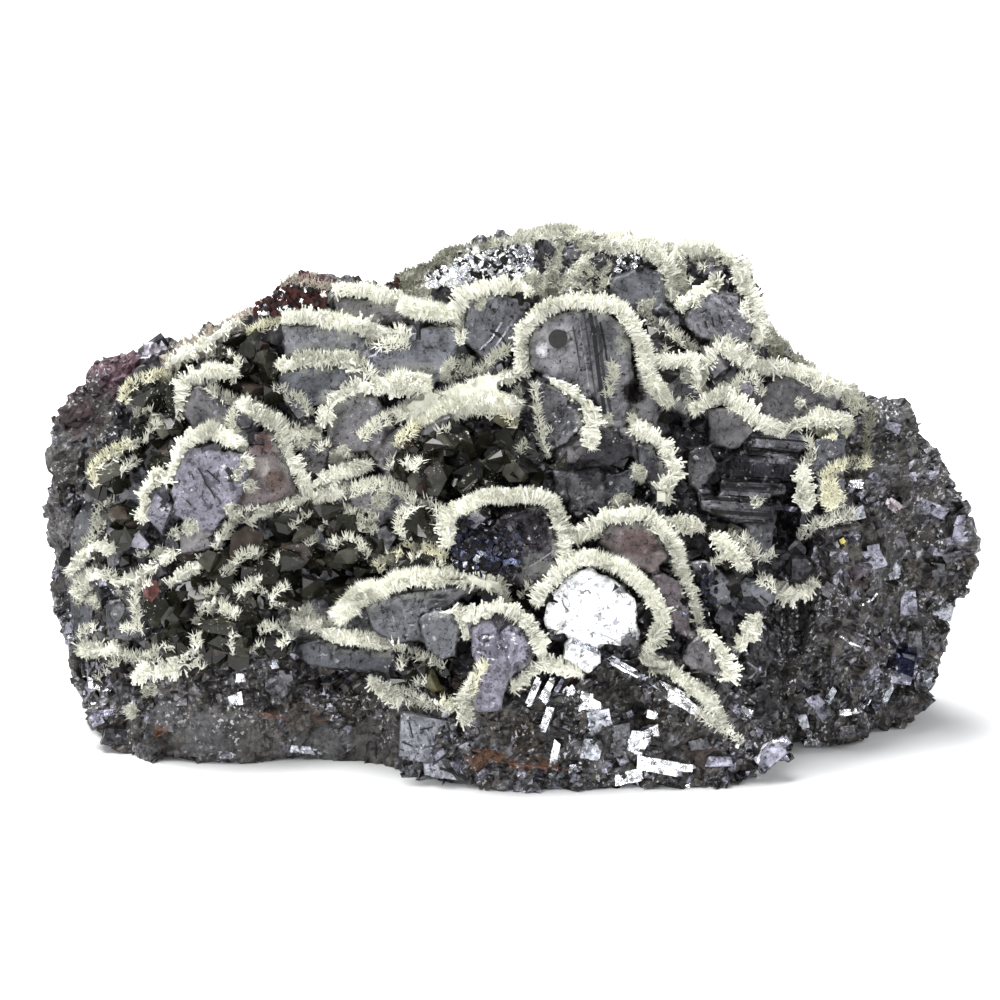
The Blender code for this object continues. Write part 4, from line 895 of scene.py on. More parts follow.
def near_parts(parts, places, normals, turned=0.3):
    """Whether each place is inside any of some parts of the photograph."""
    near = np.zeros(len(places), bool)
    for share in facing_spots(parts, places, normals, 27, turned):
        near |= share > 0.5
    return near


def rich_ore(places):
    """Whether each place is in a part of the ore that is rich in galena."""
    coarse = smooth_noise(places, ORE_PATCH, 15)
    fine = smooth_noise(places, 0.3 * ORE_PATCH, 16)
    return coarse + 0.35 * fine > RICH_ABOVE


def by_patch(codes, places, poor, rich):
    """Looks by share, from one palette where the ore is poor and another where it is rich."""
    looks = pick(codes, poor)
    inside = rich_ore(places)
    for values, rich_values in zip(looks, pick(codes, rich)):
        values[inside] = rich_values[inside]
    return looks


def crusted(places, normals, looks):
    """Pales the surface under the calcite crusts."""
    spots = [(*crust[:3], tuple(UNDER_CRUST * part for part in crust[3]), 0.0, 0.0) for crust in CRUSTS]
    paint_spots(spots, places, normals, looks, CRUST_SEED)


def lumpy(points, normals, size, middle, height, seed):
    """Raises and lowers a surface softly about the middle value of the noise."""
    return points + normals * (smooth_noise(points, size, seed) - middle)[:, None] * height


def facet_codes(centres):
    """A fixed number for the mineral of each facet, or of each fine grain where those show."""
    codes = hashed(nearest_cells(centres, MIDDLE_FACETS[0], MIDDLE_FACETS[3])[1], 77)
    fine_codes = hashed(nearest_cells(centres, FINE_GRAIN, 79)[1], 78)
    return np.where(smooth_noise(centres, 4.0 * MM, 47) > 0.4, fine_codes, codes)


def ore_skin(material):
    """Lumps, facets of three sizes, and cleaved steps in places; each facet has its own mineral."""
    points, normals, triangles = fine_copy(["ore_mass"], ORE_VOXEL)
    points = lumpy(points, normals, *ORE_LUMPS)
    plain = lumpy(points, normals, *SMOOTH_WAVES)
    smoothed = np.zeros(len(points))
    for share in facing_spots(SMOOTH_PARTS, points, normals, 31):
        smoothed = np.maximum(smoothed, share * (1.0 - SHARPEST_WALL))
    points = facets(points, normals, *LARGE_FACETS)
    points = facets(points, normals, *MIDDLE_FACETS)
    stepped = cleaved(points, *ORE_STEPS)
    small = facets(points, normals, *SMALL_FACETS)
    mixed = smooth_noise(points, ORE_MIXTURE, 43)[:, None]
    points = np.where(mixed > STEPPED_ABOVE, stepped, np.where(mixed > SMALL_ABOVE, small, points))
    points += (plain - points) * smoothed[:, None]
    centres = points[triangles].mean(1)
    looks = by_patch(facet_codes(centres), centres, POOR_ORE_PALETTE, RICH_ORE_PALETTE)
    facing = normals_of(points, triangles)
    paint_spots(ORE_SPOTS, centres, facing, looks, ORE_SPOT_SEED)
    crusted(centres, facing, looks)
    add_piece("ore_skin", (points, triangles, *looks), material, ["ore_mass"])
    return points, normals, triangles


def open_parts(places, smooth):
    """Where small blocks may lie: not on the named plates nor on the smooth parts."""
    plates = [(plate[0], plate[1], max(plate[2], plate[3]) * 0.55) for plate in PLATES]
    return ~near_parts(plates + SMOOTH_PARTS, places, smooth)


ORE_BLOCK_TRIES = 4600
POOR_BLOCK_SHARE = 0.55
BLOCK_SIZES = (0.2 * MM, 1.2 * MM)
USUAL_BLOCK = 0.45 * MM


def ore_grains(material, surface):
    """Cleaved blocks of galena half sunk in the broken surface, alike in lean within each grain."""
    rng = np.random.default_rng(17)
    places, smooth = scattered(*surface, ORE_BLOCK_TRIES, rng)
    clear = open_parts(places, smooth) & (rich_ore(places) | (rng.random(len(places)) < POOR_BLOCK_SHARE))
    places, smooth = places[clear], smooth[clear]
    number = len(places)
    bright = near_parts(BRIGHT_PARTS, places, smooth)
    size = uneven_sizes(USUAL_BLOCK, 0.5, BLOCK_SIZES, number, rng)
    size = np.where(bright, size * 1.3, size)
    sizes = size[:, None] * rng.uniform(0.4, 1.2, (number, 3))
    turns = grain_turns(places, ORE_GRAIN, 0.04, ORE_SEED, rng)
    centres = sunk(places, smooth, size, 0.4, 0.9, rng)
    points, faces = grown(cube_shape(), centres, turns, sizes)
    codes = rng.random(number)
    looks = pick(codes, BLOCK_PALETTE)
    for values, bright_values in zip(looks, pick(codes, BRIGHT_PALETTE)):
        values[bright] = bright_values[bright]
    paint_spots(ORE_SPOTS, centres, smooth, looks, ORE_SPOT_SEED)
    looks = repeated(looks, len(faces) // number)
    add_piece("ore_grains", (points, faces, *looks), material)


def stepped_shape(rng, count=6):
    """A cleaved patch, about one across and one thick: uneven blocks at different heights."""
    parts = []
    for number in range(count):
        spread = 0.28 if number else 0.06
        middle = rng.uniform(-spread, spread, 2)
        half = rng.uniform(0.12, 0.26, 2) if number else rng.uniform(0.36, 0.48, 2)
        tilt = rng.normal(size=2) * 0.02
        top = rng.uniform(-0.16, 0.0)
        corners = []
        for x, y in product((-1.0, 1.0), repeat=2):
            at = middle + half * (x, y) * rng.uniform(0.65, 1.2, 2)
            corners.append((*at, -1.0))
            corners.append((*at, top + x * tilt[0] + y * tilt[1]))
        parts.append(crystal_shape(corners))
    return joined(parts)


def named_plates(plates, shape, shown, rng, looseness=0.05):
    """The flat faces or crystals that the photograph shows one by one."""
    parts = []
    for column, row, length, width, turn, colour, shine in plates:
        middle = place_at(shown, column, row)
        if middle is None:
            continue
        lean = PLATE_LEAN + rng.normal() * looseness
        side = PLATE_TURN + rng.normal() * looseness
        out = Vector((math.sin(side) * math.cos(lean), -math.cos(side) * math.cos(lean), math.sin(lean)))
        flat = Vector((math.cos(math.radians(turn)), 0.0, math.sin(math.radians(turn))))
        along = (flat - out * flat.dot(out)).normalized()
        axes = np.array([along, out.cross(along), out]).T[None]
        size = np.array([[length * PIXEL, width * PIXEL, PLATE_DEPTH]])
        place = np.array(middle + out * 0.7 * MM)[None]
        points, faces = grown(shape(rng), place, axes, size)
        parts.append(plain_parts(points, faces, colour, shine, PLATE_GRAIN))
    return parts


def scattered_plates(surface, rng):
    """Smaller plates all over the broken surface, lying along the cleavage of each grain."""
    places, smooth = scattered(*surface, PLATE_TRIES, rng)
    axes = grain_turns(places, ORE_GRAIN, 0.03, ORE_SEED, rng)
    lean = np.einsum("nji,nj->ni", axes, smooth)
    flat = np.abs(lean).max(1) > LEAST_PLATE_LEAN
    wanted = rich_ore(places) | (rng.random(len(places)) < POOR_PLATE_SHARE)
    clear = flat & open_parts(places, smooth) & wanted
    places, smooth, axes, lean = (values[clear] for values in (places, smooth, axes, lean))
    number = len(places)
    out = np.abs(lean).argmax(1)
    order = (out[:, None] + np.array([1, 2, 0])) % 3
    axes = np.take_along_axis(axes, order[:, None, :], 2)
    sign = np.sign(np.take_along_axis(lean, out[:, None], 1))
    axes = axes * np.concatenate([sign, np.ones_like(sign), sign], 1)[:, None, :]
    size = uneven_sizes(USUAL_PLATE, 0.45, PLATE_SIZES, number, rng)
    shares = [rng.uniform(*limits, number) for limits in PLATE_SHARES]
    sizes = size[:, None] * np.stack(shares, 1)
    places = places + smooth * rng.uniform(-0.2 * MM, 0.2 * MM, (number, 1))
    looks = pick(rng.random(number), PLATE_PALETTE)
    paint_spots(ORE_SPOTS, places, smooth, looks, ORE_SPOT_SEED)
    parts = []
    for group in np.array_split(np.arange(number), PLATE_SHAPES):
        points, faces = grown(stepped_shape(rng, 3), places[group], axes[group], sizes[group])
        times = len(faces) // len(group)
        parts.append((points, faces, *repeated([values[group] for values in looks], times)))
    return parts


def cleavage_plates(material, surface):
    """The flat, bright faces where the wall broke along the galena's cleavage."""
    rng = np.random.default_rng(83)
    points, _, triangles = surface
    rock = tree_from((points, triangles))
    parts = joined(named_plates(PLATES, stepped_shape, rock, rng) + scattered_plates(surface, rng))
    add_piece("cleavage_plates", parts, material)
    return parts[:2]


# Galena druse

MAUVE = (0.12, 0.10, 0.112)
PINKISH = (0.125, 0.103, 0.105)
LAVENDER = (0.20, 0.19, 0.235)
# One look for each named crystal: a place on its face, colour, shine and grain
CRYSTAL_LOOKS = [
    # The first two crystals are painted near white: a painted reflection of the lights on their faces
    (590, 606, (0.97, 0.97, 0.99), 0.32, 0.3), (584, 655, (0.95, 0.95, 0.98), 0.35, 0.4),
    (500, 560, (0.045, 0.04, 0.048), 0.7, 0.5), (470, 520, LAVENDER, 0.5, 0.4),
    (630, 545, PINKISH, 0.4, 0.1), (671, 606, MAUVE, 0.4, 0.3), (275, 470, PINKISH, 0.4, 0.1),
    (500, 650, LAVENDER, 0.5, 0.7), (215, 480, LAVENDER, 0.3, 0.8), (160, 510, LAVENDER, 0.3, 0.5),
    (720, 320, (0.16, 0.157, 0.175), 0.5, 0.5), (578, 350, LEAD, 0.6, 0.0),
    (760, 470, LEAD_DARK, 0.7, 0.0), (153, 600, (0.12, 0.045, 0.04), 0.3, 0.0),
]
# Colours on the druse, in the same form as those on the ore
DRUSE_SPOTS = by_look(3, [
    (LEAD, 0.7, 0.1, (630, 642, 10)), ((0.028, 0.025, 0.029), 0.7, 0.6, (535, 525, 22)),
    ((0.09, 0.088, 0.088), 0.6, 0.0, (536, 572, 24)), ((0.17, 0.168, 0.178), 0.6, 0.0, (560, 350, 30)),
    ((0.14, 0.138, 0.148), 0.6, 0.0, (560, 385, 20)), ((0.45, 0.45, 0.46), 0.7, 0.0, (543, 350, 9)),
    (BLACK, 0.6, 0.3, (636, 392, 14)), (DUSTY, 0.2, 0.8, (626, 345, 13)),
    ((0.085, 0.050, 0.048), 0.35, 0.1, (266, 440, 16)), ((0.20, 0.18, 0.17), 0.4, 0.0, (262, 466, 12)),
    ((0.10, 0.07, 0.06), 0.4, 0.0, (276, 480, 12)), ((0.42, 0.42, 0.43), 0.5, 0.8, (599, 616, 5)),
    (STEEL, 0.5, 0.8, (616, 622, 4)), (STEEL, 0.5, 0.6, (624, 588, 6)),
    ((0.5, 0.5, 0.5), 0.5, 0.8, (563, 624, 5)), (LEAD, 0.6, 0.2, (646, 600, 9), (642, 620, 8)),
    ((0.03, 0.029, 0.034), 0.7, 0.2, (760, 472, 36)), ((0.12, 0.115, 0.13), 0.6, 0.2, (772, 442, 26)),
    (LEAD_DARK, 0.6, 0.2, (745, 490, 26)), ((0.04, 0.04, 0.045), 0.6, 0.2, (770, 515, 20)),
    ((0.03, 0.029, 0.033), 0.6, 0.4, (605, 460, 36)), (LEAD_DARK, 0.5, 0.6, (700, 440, 24)),
    ((0.08, 0.078, 0.085), 0.6, 0.2, (545, 460, 20)), ((0.04, 0.038, 0.045), 0.6, 0.4, (650, 480, 24)),
    ((0.09, 0.062, 0.06), 0.4, 0.1, (640, 540, 22)), (STEEL, 0.7, 0.4, (634, 262, 9)),
])
# Etching of the crystal faces and of the hollows between them
NEAR_REACH = 3.0 * MM
FACE_MARGIN = 0.8 * MM
FACE_SETBACK = 0.4 * MM
FACE_WAVE = 5.0 * MM
WAVE_HEIGHT = 0.3 * MM
GROWTH_STEP = 3.2 * MM
STEP_HEIGHT = 0.5 * MM
PIT = 1.4 * MM
PIT_DEPTH = 2.4 * MM
HOLLOW_SETBACK = 0.6 * MM
HOLLOW_STEPS = (5.0 * MM, 1.5 * MM, 0.9, 51)
# The colour between the crystals: partly the rough ore's own dark grey, partly painted shade in the hollows
HOLLOW_COLOUR_AND_SHADE = tuple(0.7 * part for part in LEAD_DARK)
HOLLOW_GRAIN = 0.8
DUST_REACH = 1.3 * MM
DRUSE_SPOT_SEED = 93
DRUSE_GRAIN_TRIES = 700
DRUSE_GRAIN_PALETTE = (
    (0.46, LEAD_DARK, 0.6, 0.2),
    (0.26, LEAD, 0.6, 0.2),
    (0.28, BLACK, 0.5, 0.2),
)


def crystal_looks(numbers, centres, normals, faces, number_of):
    """A slightly different grey for each crystal, and the named ones their own."""
    keys = np.stack([numbers, numbers * 0, numbers * 0], 1)
    light = 0.65 + 0.8 * hashed(keys, 3)
    warm = (hashed(keys, 5) - 0.5) * 0.10
    tints = np.array(LEAD) * np.stack([light * (1 + warm), light, light * (1 - warm)], 1)
    shines = 0.4 + 0.3 * hashed(keys, 7)
    grains = 0.1 + 0.35 * hashed(keys, 9)
    for column, row, colour, shine, grain in CRYSTAL_LOOKS:
        middle = place_at(solids, column, row)
        found = faces.find_nearest(middle, 1.0 * MM)[2] if middle is not None else None
        if found is not None:
            same = numbers == number_of[found]
            tints[same] = np.array(colour)
            shines[same] = shine
            grains[same] = grain
    looks = tints, shines, grains
    paint_spots(DRUSE_SPOTS, centres, normals, looks, DRUSE_SPOT_SEED)
    return looks


def etched_shape(points, normals, between):
    """Waves, growth steps and pits on the crystal faces, and cleavage steps between them."""
    wave = smooth_noise(points, FACE_WAVE, 3) * WAVE_HEIGHT
    step = np.floor(smooth_noise(points, GROWTH_STEP, 5) * 7.0) / 7.0 * STEP_HEIGHT
    pit = np.clip(smooth_noise(points, PIT, 9) - 0.72, 0.0, 1.0) * PIT_DEPTH
    etched = points + normals * (wave + step - pit - FACE_SETBACK)[:, None]
    rough = cleaved(points - normals * HOLLOW_SETBACK, *HOLLOW_STEPS)
    return etched * (1.0 - between) + rough * between


def between_crystals(away, softness):
    """From 0 on a big crystal's face to 1 in the hollows beside it."""
    return np.clip((away - FACE_MARGIN) / softness, 0.0, 1.0)


def dusted(centres, looks, fringes):
    """Pale grit on the faces close to the calcite fringes."""
    tints, shines, grains = looks
    near = np.array([fringes.find_nearest(c, NEAR_REACH)[3] or NEAR_REACH for c in centres.tolist()])
    speck = smooth_noise(centres, 0.9 * MM, 19)
    dust = np.clip(1.25 - near / DUST_REACH, 0.0, 1.0) * (speck > 0.38)
    tints = tints * (1.0 - dust)[:, None] + np.array(DUSTY) * dust[:, None]
    return tints, shines * (1.0 - dust), grains


def druse_skin(material, fringes):
    """Etched crystal faces with growth steps and pits, and a rough surface between them, painted darker:
    partly its own colour, partly painted shade.
    """
    points, normals, triangles = fine_copy(["galena_druse"], DRUSE_VOXEL)
    faces, number_of = crystal_faces()
    _, away = nearest_crystal(faces, number_of, points, NEAR_REACH)
    points = etched_shape(points, normals, between_crystals(away, 0.8 * MM)[:, None])
    centres = points[triangles].mean(1)
    numbers, away = nearest_crystal(faces, number_of, centres, NEAR_REACH)
    facing = normals_of(points, triangles)
    tints, shines, grains = crystal_looks(numbers, centres, facing, faces, number_of)
    between = between_crystals(away, 0.6 * MM)
    # Darker into the hollows: partly the ore's own colour, partly painted shade
    tints = tints * (1.0 - between)[:, None] + np.array(HOLLOW_COLOUR_AND_SHADE) * between[:, None]
    grains = grains * (1.0 - between) + HOLLOW_GRAIN * between
    looks = dusted(centres, (tints, shines, grains), fringes)
    crusted(centres, facing, looks)
    add_piece("druse_skin", (points, triangles, *looks), material, ["galena_druse"], smooth=True)
    return points, normals, triangles, between


# Where sphalerite grows between the crystals: column, row and reach in pixels
SPHALERITE_PARTS = [
    (150, 398, 34), (250, 368, 40), (152, 445, 34), (110, 475, 26), (126, 523, 26), (200, 590, 50),
    (250, 570, 56), (310, 560, 62), (350, 550, 50), (470, 455, 60), (530, 460, 34), (425, 530, 34),
    (420, 566, 30), (275, 642, 26), (430, 676, 40), (200, 640, 50), (90, 620, 24), (105, 672, 30),
    (730, 552, 30), (518, 600, 20), (660, 350, 16), (380, 470, 20), (130, 570, 30), (160, 620, 40),
    (340, 470, 30), (330, 600, 30), (96, 560, 24), (230, 510, 20),
]


def hollow_places(surface, number, rng):
    """Places in the hollows between the big crystals."""
    points, normals, triangles, between = surface
    outward = normals[triangles].mean(1) @ SLOPE_OUT > 0.05
    return scattered(points, normals, triangles, number, rng, (between > 0.9) & outward)


def standing_turns(aims, rng, looseness):
    """Turns that point each crystal along its aim, with any twist."""
    up = unit(aims + rng.normal(size=aims.shape) * looseness)
    side = unit(np.cross(up, rng.normal(size=aims.shape)))
    return np.stack([side, np.cross(up, side), up], 2)


# Looks by share, as for the ore
BLUE_GLITTER = (
    (0.32, (0.020, 0.021, 0.034), 0.9, 0.0),
    (0.36, BLACK, 0.6, 0.0),
    (0.09, (0.11, 0.125, 0.20), 1.0, 0.0),
    (0.17, LEAD_DARK, 0.7, 0.0),
    (0.06, STEEL, 1.0, 0.0),
)
WHITE_GLITTER = (
    (0.45, SILVER, 1.0, 0.0),
    (0.20, STEEL, 0.9, 0.0),
    (0.35, BLACK, 0.5, 0.0),
)
WHITEST_GLITTER = (
    (0.80, SILVER, 1.0, 0.0),
    (0.12, STEEL, 0.9, 0.0),
    (0.08, BLACK, 0.5, 0.0),
)
RED_GLITTER = (
    (0.60, RED, 0.4, 0.0),
    (0.30, BLACK, 0.5, 0.0),
    (0.10, SILVER, 1.0, 0.0),
)
GLITTER_AIM = (-0.1, -0.96, 0.2)
# Glittering parts: column and row of the middle, half width and half height in pixels, count, and looks
GLITTER_PARTS = [
    (490, 547, 30, 25, 420, BLUE_GLITTER), (470, 562, 16, 13, 140, BLUE_GLITTER),
    (490, 262, 34, 13, 420, WHITE_GLITTER), (452, 277, 24, 9, 240, WHITEST_GLITTER),
    (520, 258, 12, 12, 120, WHITE_GLITTER), (290, 302, 34, 12, 380, RED_GLITTER),
    (385, 278, 14, 6, 90, RED_GLITTER), (630, 262, 12, 9, 60, WHITE_GLITTER),
    (700, 590, 16, 24, 140, BLUE_GLITTER),
]


def glitter(material, shown):
    """Small stepped cubes over the surfaces that broke into a glittering mosaic."""
    rng = np.random.default_rng(101)
    parts = []
    for column, row, half_width, half_height, count, palette in GLITTER_PARTS:
        spots = rng.normal(size=(count, 2)).clip(-1.6, 1.6) * 0.62
        found = [place_at(shown, column + x * half_width, row + y * half_height) for x, y in spots]
        places = np.array([place for place in found if place is not None])
        number = len(places)
        size = rng.uniform(0.2, 0.5, (number, 1)) * MM * rng.uniform(0.6, 1.3, (number, 3))
        aims = np.tile(np.array(GLITTER_AIM), (number, 1))
        points, faces = grown(cube_shape(), places, standing_turns(aims, rng, 0.2), size)
        looks = picked(rng, number, palette, faces)
        parts.append((points, faces, *looks))
    add_piece("glitter", joined(parts), material)


# Where no loose crystals stand: column, row and reach in pixels
BARE_PARTS = [
    (290, 292, 46), (385, 282, 26), (430, 262, 30), (470, 252, 34), (520, 245, 34), (560, 258, 36),
    (600, 245, 34), (640, 240, 30), (240, 326, 30), (190, 346, 34), (150, 355, 30), (345, 282, 26),
    (500, 262, 40), (690, 250, 30), (790, 352, 30), (830, 380, 20), (168, 338, 24), (206, 326, 20),
    (760, 264, 20), (814, 352, 20),
]


def druse_grains(material, surface):
    """Small galena crystals in the hollows of the druse."""
    rng = np.random.default_rng(29)
    places, smooth = hollow_places(surface, DRUSE_GRAIN_TRIES, rng)
    keep = ~near_parts(SPHALERITE_PARTS, places, smooth) & ~near_parts(BARE_PARTS, places, smooth, 1.1)
    places, smooth = places[keep], smooth[keep]
    number = len(places)
    size = rng.uniform(0.5, 1.7, number) * MM
    sizes = size[:, None] * rng.uniform(0.7, 1.1, (number, 3))
    turns = standing_turns(smooth, rng, 0.35)
    centres = sunk(places, smooth, size, 0.0, 0.7, rng)
    points, faces = grown(cut_cube_shape(), centres, turns, sizes)
    looks = picked(rng, number, DRUSE_GRAIN_PALETTE, faces)
    add_piece("druse_grains", (points, faces, *looks), material)
    return points, faces


CLUSTER_CRYSTALS = 420
HOLLOW_CRYSTALS = 1500
USUAL_SPHALERITE = 1.5 * MM
SPHALERITE_SIZES = (0.8 * MM, 2.8 * MM)
SPHALERITE_PALETTE = (
    (0.48, OLIVE, 0.5, 0.0),
    (0.32, JET, 0.5, 0.0),
    (0.12, OLIVE_GREY, 0.5, 0.0),
    (0.08, BROWN, 0.5, 0.0),
)


def sphalerite_crystals(material, surface):
    """Dark, sharp crystals over each cluster and in the hollows near it."""
    names = nodes_named("sphalerite_cluster")
    rng = np.random.default_rng(37)
    base_points, base_normals, base_faces = solid_arrays(names)
    on_cluster, cluster_aims = scattered(base_points, base_normals, base_faces, CLUSTER_CRYSTALS, rng)
    between, between_aims = hollow_places(surface, HOLLOW_CRYSTALS, rng)
    keep = near_parts(SPHALERITE_PARTS, between, between_aims)
    places = np.concatenate([on_cluster, between[keep]])
    aims = np.concatenate([cluster_aims, between_aims[keep]])
    keep = ~near_parts(BARE_PARTS, places, aims, 1.1)
    places, aims = places[keep], aims[keep]
    number = len(places)
    size = uneven_sizes(USUAL_SPHALERITE, 0.35, SPHALERITE_SIZES, number, rng)
    sizes = size[:, None] * rng.uniform(0.75, 1.15, (number, 3))
    turns = turns_from(rng.normal(size=(number, 4)))
    centres = sunk(places, aims, size, 0.3, 0.9, rng)
    points, faces = grown(cut_tetrahedron_shape(), centres, turns, sizes)
    looks = picked(rng, number, SPHALERITE_PALETTE, faces)
    base = plain_parts(base_points, base_faces, OLIVE, 0.5, 0.0)
    parts = joined([base, (points, faces, *looks)])
    add_piece("sphalerite_crystals", parts, material, names)
    return points, faces


# Single crystals between the big ones, in the same form as the plates in the wall
SINGLE_GALENA = by_look(2, [
    ((0.22, 0.215, 0.25), 0.4, (140, 541, 22, 22, 0)),
    ((0.12, 0.042, 0.038), 0.3, (152, 590, 17, 26, -8)),
    ((0.19, 0.185, 0.22), 0.4, (162, 512, 28, 40, 10)), ((0.24, 0.23, 0.27), 0.4, (745, 389, 22, 22, 0)),
    (LEAD, 0.5, (718, 367, 20, 28, -10)), (LEAD_DARK, 0.5, (546, 254, 17, 28, 0)),
    (LEAD, 0.5, (572, 254, 20, 18, 10)), ((0.20, 0.19, 0.22), 0.4, (474, 519, 30, 22, 20)),
    (LEAD, 0.5, (386, 541, 26, 30, 0), (298, 409, 22, 24, 30), (244, 420, 24, 20, 0)),
    (LEAD, 0.6, (674, 321, 28, 16, 20)), ((0.20, 0.19, 0.22), 0.5, (707, 269, 22, 18, 40)),
    (LEAD_DARK, 0.5, (800, 568, 34, 30, 0)), (LEAD_DARK, 0.6, (748, 608, 32, 34, 10)),
    (LEAD, 0.5, (832, 450, 24, 24, 0), (826, 470, 26, 12, 20)),
    ((0.16, 0.16, 0.15), 0.5, (262, 600, 14, 26, 10)), ((0.12, 0.12, 0.125), 0.4, (118, 612, 18, 22, 0)),
    (LEAD, 0.5, (436, 427, 40, 10, 34), (400, 436, 30, 14, 28)), (LEAD_DARK, 0.5, (655, 345, 24, 16, 0)),
    (BLACK, 0.5, (660, 378, 34, 12, 0)), (LEAD_DARK, 0.5, (690, 392, 24, 22, 0), (598, 262, 16, 18, 0)),
])
SINGLE_SPHALERITE = by_look(2, [
    (OLIVE, 0.5, (150, 396, 44, 22, 4)), ((0.075, 0.075, 0.056), 0.5, (160, 424, 20, 28, 10)),
    (OLIVE_GREY, 0.5, (110, 471, 34, 22, 10)), (OLIVE, 0.5, (421, 524, 36, 36, 0), (418, 566, 38, 20, 0),
     (325, 511, 34, 14, 6)), (OLIVE_GREY, 0.5, (344, 556, 28, 18, 10), (262, 356, 24, 16, 20)),
    (OLIVE, 0.5, (238, 340, 30, 18, 10)), ((0.05, 0.04, 0.03), 0.5, (118, 512, 20, 26, 20)),
    (OLIVE, 0.5, (484, 412, 28, 20, 0)), ((0.05, 0.045, 0.025), 0.5, (505, 420, 24, 18, 0)),
    (OLIVE_GREY, 0.5, (208, 562, 22, 22, 0)), (OLIVE, 0.5, (250, 590, 26, 18, 30), (100, 556, 26, 14, 10),
     (128, 560, 20, 16, 0)), (JET, 0.5, (272, 640, 34, 26, 0)), (OLIVE, 0.5, (218, 628, 36, 24, 0),
     (290, 560, 30, 26, 15)), ((0.05, 0.045, 0.025), 0.5, (400, 684, 26, 22, 0)),
    ((0.05, 0.045, 0.02), 0.5, (436, 680, 24, 22, 0)), (OLIVE_GREY, 0.5, (300, 535, 28, 20, 10)),
    (OLIVE, 0.5, (440, 450, 30, 24, 0)), (JET, 0.5, (470, 470, 34, 26, 10)),
    (OLIVE, 0.5, (420, 462, 26, 20, 0), (500, 462, 30, 22, 0)), (JET, 0.5, (520, 500, 24, 14, 0)),
])


def bevelled_shape(rng):
    """A crystal end: an uneven outline with a smaller flat face a little in front."""
    count = int(rng.integers(4, 7))
    angles = (np.arange(count) + rng.uniform(-0.3, 0.3, count)) * 2.0 * math.pi / count
    reach = rng.uniform(0.9, 1.2, count)
    corners = []
    for angle, far in zip(angles, reach):
        for share, depth in ((1.0, -1.0), (1.0, -0.2), (0.78, 0.05)):
            corners.append((math.cos(angle) * far * share / 2.0, math.sin(angle) * far * share / 2.0, depth))
    return crystal_shape(corners)


def sharp_shape(rng):
    """A sharp crystal with faces that all lean their own way."""
    corners = rng.normal(size=(10, 3))
    corners = corners / np.linalg.norm(corners, axis=1, keepdims=True) * (0.56, 0.56, 0.5)
    return crystal_shape([tuple(corner) for corner in corners])


def single_crystals(name, crystals, shape, material, shown, seed):
    """The small crystals that the photograph shows one by one, each in its place."""
    parts = joined(named_plates(crystals, shape, shown, np.random.default_rng(seed), 0.12))
    add_piece(name, parts, material)
    return parts[:2]


HOLE = (558, 339)
HOLE_REACH = 9.5
HOLE_SIDES = 20
# Painted shade: the dark of the round pit's inside
ROUND_PIT_SHADE = (0.008, 0.007, 0.005)
BAND_STEP = 4.0
BAND_RISE = 0.18 * MM
BAND_DEPTH = 0.5 * MM
BAND_GRAIN = 0.15
